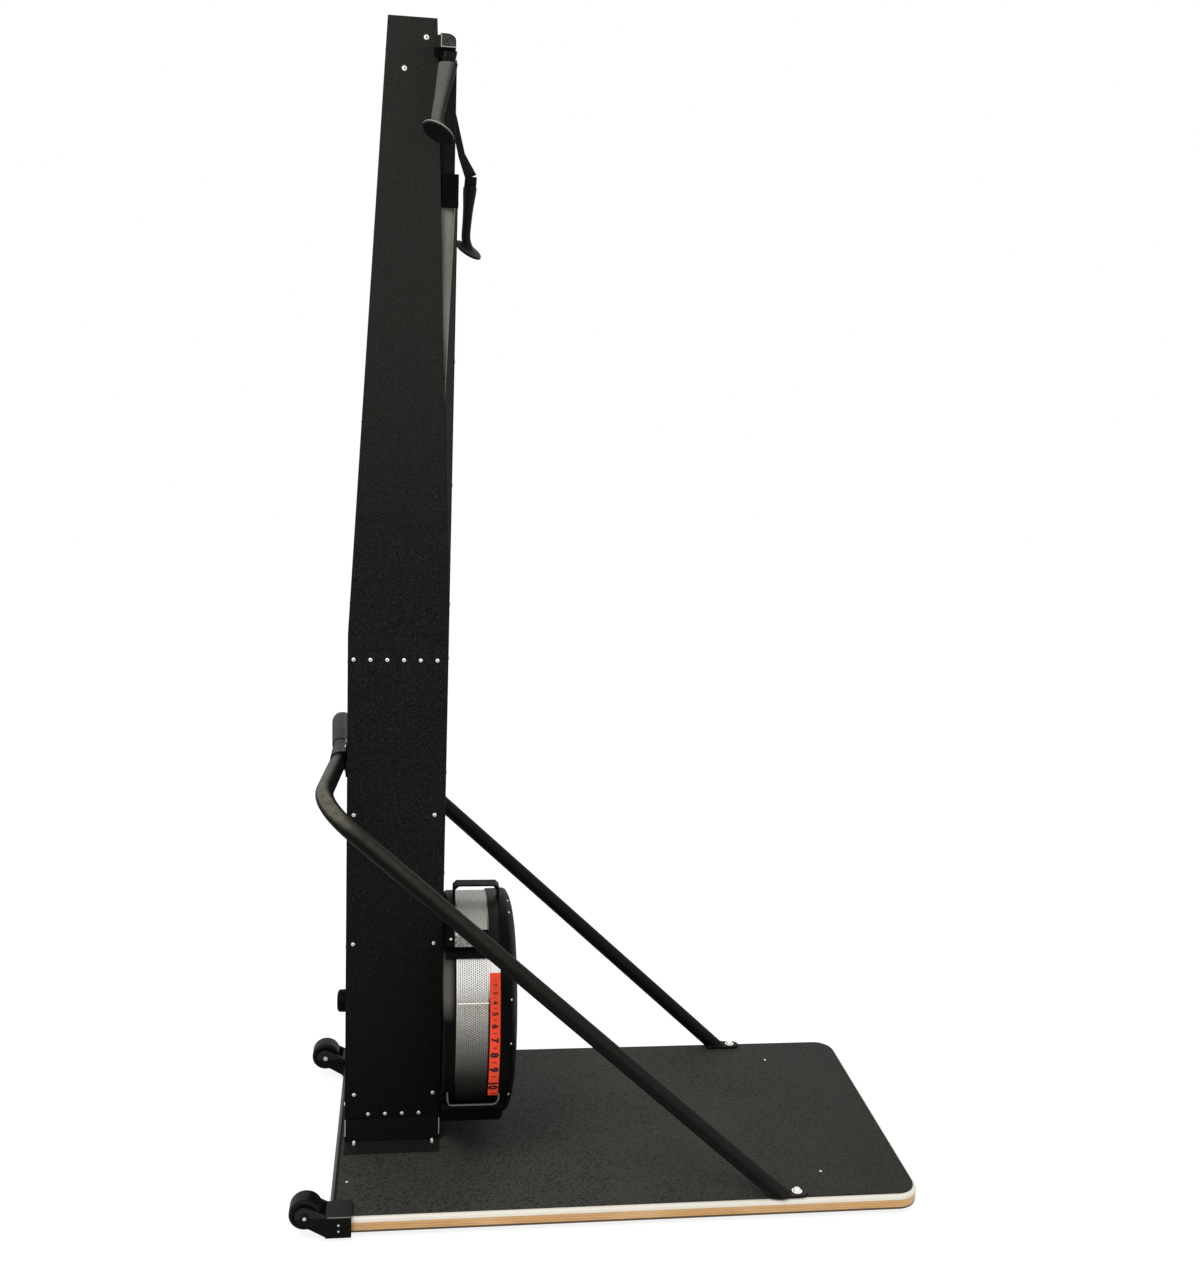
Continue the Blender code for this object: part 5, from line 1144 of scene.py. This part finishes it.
# ---------------- handles
# Pole grips as skiers use them: a hard block that the strap is pinned in, a waisted oval grip
# in soft pebbled rubber, and a tilted oval stop for the heel of the hand. The stop's rim is
# painted light as a highlight, its underside and the back of the grip are painted dark as
# shade, and the right grip is the same rubber painted darker as if in shade.
def grip_rubber(name, colour, light, dirt):
    made = Finish(name, colour, 0.62, 0.12)
    pebble = made.noise(0.0010)
    made.tint(light, pebble.between(0.48, 0.74) * 0.6)
    made.tint(dirt, made.noise(0.008, 4.0).between(0.55, 0.8) * 0.4)
    # Painted highlight on the stop's rim.
    made.tint([c * 2.4 for c in light], made.marked("rim") * 0.6)
    # Painted shade on the back of the grip.
    made.tint([c * 0.16 for c in colour], made.marked("back"))
    # Painted shade: the stop's underside is black.
    made.tint(grey(0.0030), made.marked("under"))
    made.feed("Roughness", 0.50 + pebble * 0.3)
    made.emboss(pebble, 0.0002)
    return made


grey_grip = grip_rubber("grip_rubber", (0.086, 0.084, 0.075), (0.205, 0.199, 0.180), grey(0.024, 0.88))
# The same rubber again, painted dark as shade, for the right grip.
shaded_copy_grip = grip_rubber("shaded_grip_rubber", grey(0.0045), (0.014, 0.0136, 0.0122), grey(0.0020))
# Sections down the grip, in tenths of a millimetre: how far down, half of the long way and of
# the short way across. The last number is the share of the stop's tilt, in percent.
SECTIONS = (
    (172, 100, 95, 0), (175, 146, 115, 0), (183, 156, 124, 0), (200, 160, 127, 0),
    (230, 160, 126, 0), (270, 157, 124, 0), (330, 152, 119, 0), (400, 145, 112, 0),
    (470, 138, 105, 0), (550, 131, 98, 0), (650, 122, 92, 0), (750, 115, 88, 0), (850, 110, 85, 0),
    (950, 106, 84, 0), (1030, 105, 84, 3), (1100, 106, 86, 10), (1145, 109, 91, 28),
    (1185, 114, 98, 50), (1225, 128, 113, 80), (1255, 150, 138, 100), (1270, 205, 190, 100),
    (1279, 256, 238, 100), (1288, 281, 263, 100), (1300, 290, 272, 100), (1326, 290, 272, 100),
    (1337, 285, 267, 100), (1345, 270, 253, 100), (1338, 240, 225, 100), (1322, 190, 178, 100))
for side, word, x, top, lean, tilt, finish in (
        (-1, "left", 0.1655, 2.0655, 11, 25, grey_grip),
        (1, "right", 0.2120, 1.8985, 4, 27, shaded_copy_grip)):
    lean, tilt = radians(lean), radians(tilt)
    rings, marks = [], {"rim": [], "under": [], "back": []}
    for section in SECTIONS:
        down, large, small = (tenths / 10000 for tenths in section[:3])
        share = section[3] / 100
        deep, wide = (large, small) if side < 0 else (small, large)
        slant = lean * min(1, max(0, down - 0.0175) / 0.030) + (tilt - lean) * share
        roll = side * radians(23) * share
        ring = []
        for c, s in circle(48):
            u, w = deep * c, wide * s
            rise = -u * sin(slant)
            ring.append(spot(x + u * cos(slant) - down * sin(lean) + 0.007 * share,
                             side * STRAP_Y + w * cos(roll) - rise * sin(roll),
                             top + w * sin(roll) + rise * cos(roll) - down * cos(lean)))
            # Marks for the painted highlight on the rim and the painted shade underneath and on the
            # back.
            marks["rim"].append(1.0 if 0.1275 < down < 0.1310 and large > 0.025 else 0.0)
            marks["under"].append(1.0 if down > 0.1310 else 0.0)
            marks["back"].append(min(1.0, max(0.0, c - 0.15) * 1.6) if down < 0.12 else 0.0)
        rings.append(ring)
    grip = lofted(rings)
    for mark, values in marks.items():
        grip.attributes.new(mark, "FLOAT", "POINT").data.foreach_set("value", values)
    hung(word + "_pull_grip", grip, word + "_grip", finish, "grip_rubber", word + "_handle")
    rings = []
    for down, half in ((0.0, 0.0100), (0.0004, 0.0108), (0.0014, 0.0112), (0.0160, 0.0112),
                       (0.0172, 0.0106)):
        ring = []
        for c, s in circle(48):
            square = half * (abs(c) ** 8 + abs(s) ** 8) ** (-1 / 8)
            ring.append(spot(x + c * square - down * sin(lean), side * STRAP_Y + s * square,
                             top - down * cos(lean)))
        rings.append(ring)
    hung(word + "_strap_block", lofted(rings), word + "_grip", plug_black, "grip_rubber")


# ---------------- console
# Small monitor in a moulded case that straddles the duct and looks at the user, with a
# framed display window and two push buttons below it.
shell = Finish("console_plastic", grey(0.0009), 0.48, 0.03)
grain = shell.noise(0.0005)
shell.tint(grey(0.0024), grain.between(0.45, 0.75) * 0.6)
shell.emboss(grain, 0.00006)
softened("console_case", "console", 0.0016, shell, "console_plastic", 4, 40)
window = Finish("display_window", (0.10, 0.125, 0.105), 0.12)
window.tint((0.075, 0.095, 0.082), window.noise(0.02, 3.0))
window.feed("Coat Weight", 0.6 + window.noise(0.03) * 0.3)
bezel = Finish("display_bezel", grey(0.0045, 1), 0.3, 0.45)
bezel.tint(grey(0.010, 1), bezel.noise(0.004, 3.0))


def pane(name, half, low_z, high_z, back, front, radius, finish):
    rings = [[spot(depth, y, z)
              for y, z in rounded(-half, half, low_z, high_z, (radius, radius), inset, 6)]
             for depth, inset in ((back, 0.0), (front - 0.0003, 0.0), (front, 0.0004))]
    hung(name, lofted(rings), "base", finish, "console_plastic")


pane("display_frame", 0.046, 1.8440, 1.8755, 0.1845, 0.1854, 0.003, bezel)
pane("display_glass", 0.041, 1.8470, 1.8725, 0.1851, 0.1857, 0.002, window)
# The six bars of a nought (from y and z, to y and z) in shares of its width and its height.
NOUGHT = ((0, 1, 1, 1), (1, 0.5, 1, 1), (1, 0, 1, 0.5), (0, 0, 1, 0), (0, 0, 0, 0.5),
          (0, 0.5, 0, 1))
points, faces = [], []
for word, left, base_z, tall in (("0:00", -0.030, 1.8575, 0.0125), ("0", 0.018, 1.8495, 0.006),
                                 ("000", -0.030, 1.8495, 0.006)):
    wide, bar = tall * 0.46, tall * 0.10
    for place, sign in enumerate(word):
        if sign == ":":
            bars = [(wide / 2 - bar / 2, tall * f - bar / 2, wide / 2 + bar / 2, tall * f + bar / 2)
                    for f in (0.3, 0.7)]
        else:
            bars = []
            for a, b, c, d in NOUGHT:
                dy, dz = (0.6, -0.5) if b == d else (-0.5, 0.6)
                bars.append((a * wide + bar * dy, b * tall + bar * dz,
                             c * wide - bar * dy, d * tall - bar * dz))
        for a, b, c, d in bars:
            base = len(points)
            points += [spot(0.1858, left + place * tall * 0.68 + y, base_z + z)
                       for y, z in ((a, b), (c, b), (c, d), (a, d))]
            faces.append((base, base + 1, base + 2, base + 3))
hung("display_digits", skin(points, faces), "base", bezel, "console_plastic")

key_grey = Finish("key_plastic", (0.17, 0.17, 0.175), 0.5, 0.35)
key_grey.tint((0.23, 0.23, 0.235), key_grey.noise(0.002, 3.0).between(0.4, 0.7))
key_grey.emboss(key_grey.noise(0.0005), 0.00004)
key = [(0.1826, 0.0, 0), (0.1826, 0.0060, 0.0003), (0.1862, 0.0060, 0.0010), (0.1866, 0.0030, 0.001),
       (0.1864, 0.0, 0)]
for side, word in ((-1, "left"), (1, "right")):
    hung(word + "_key_cap", turned(key, "X", spot(0, side * 0.015, 1.8350), 48, False),
         word + "_key", key_grey, "key_plastic", word + "_console_button")
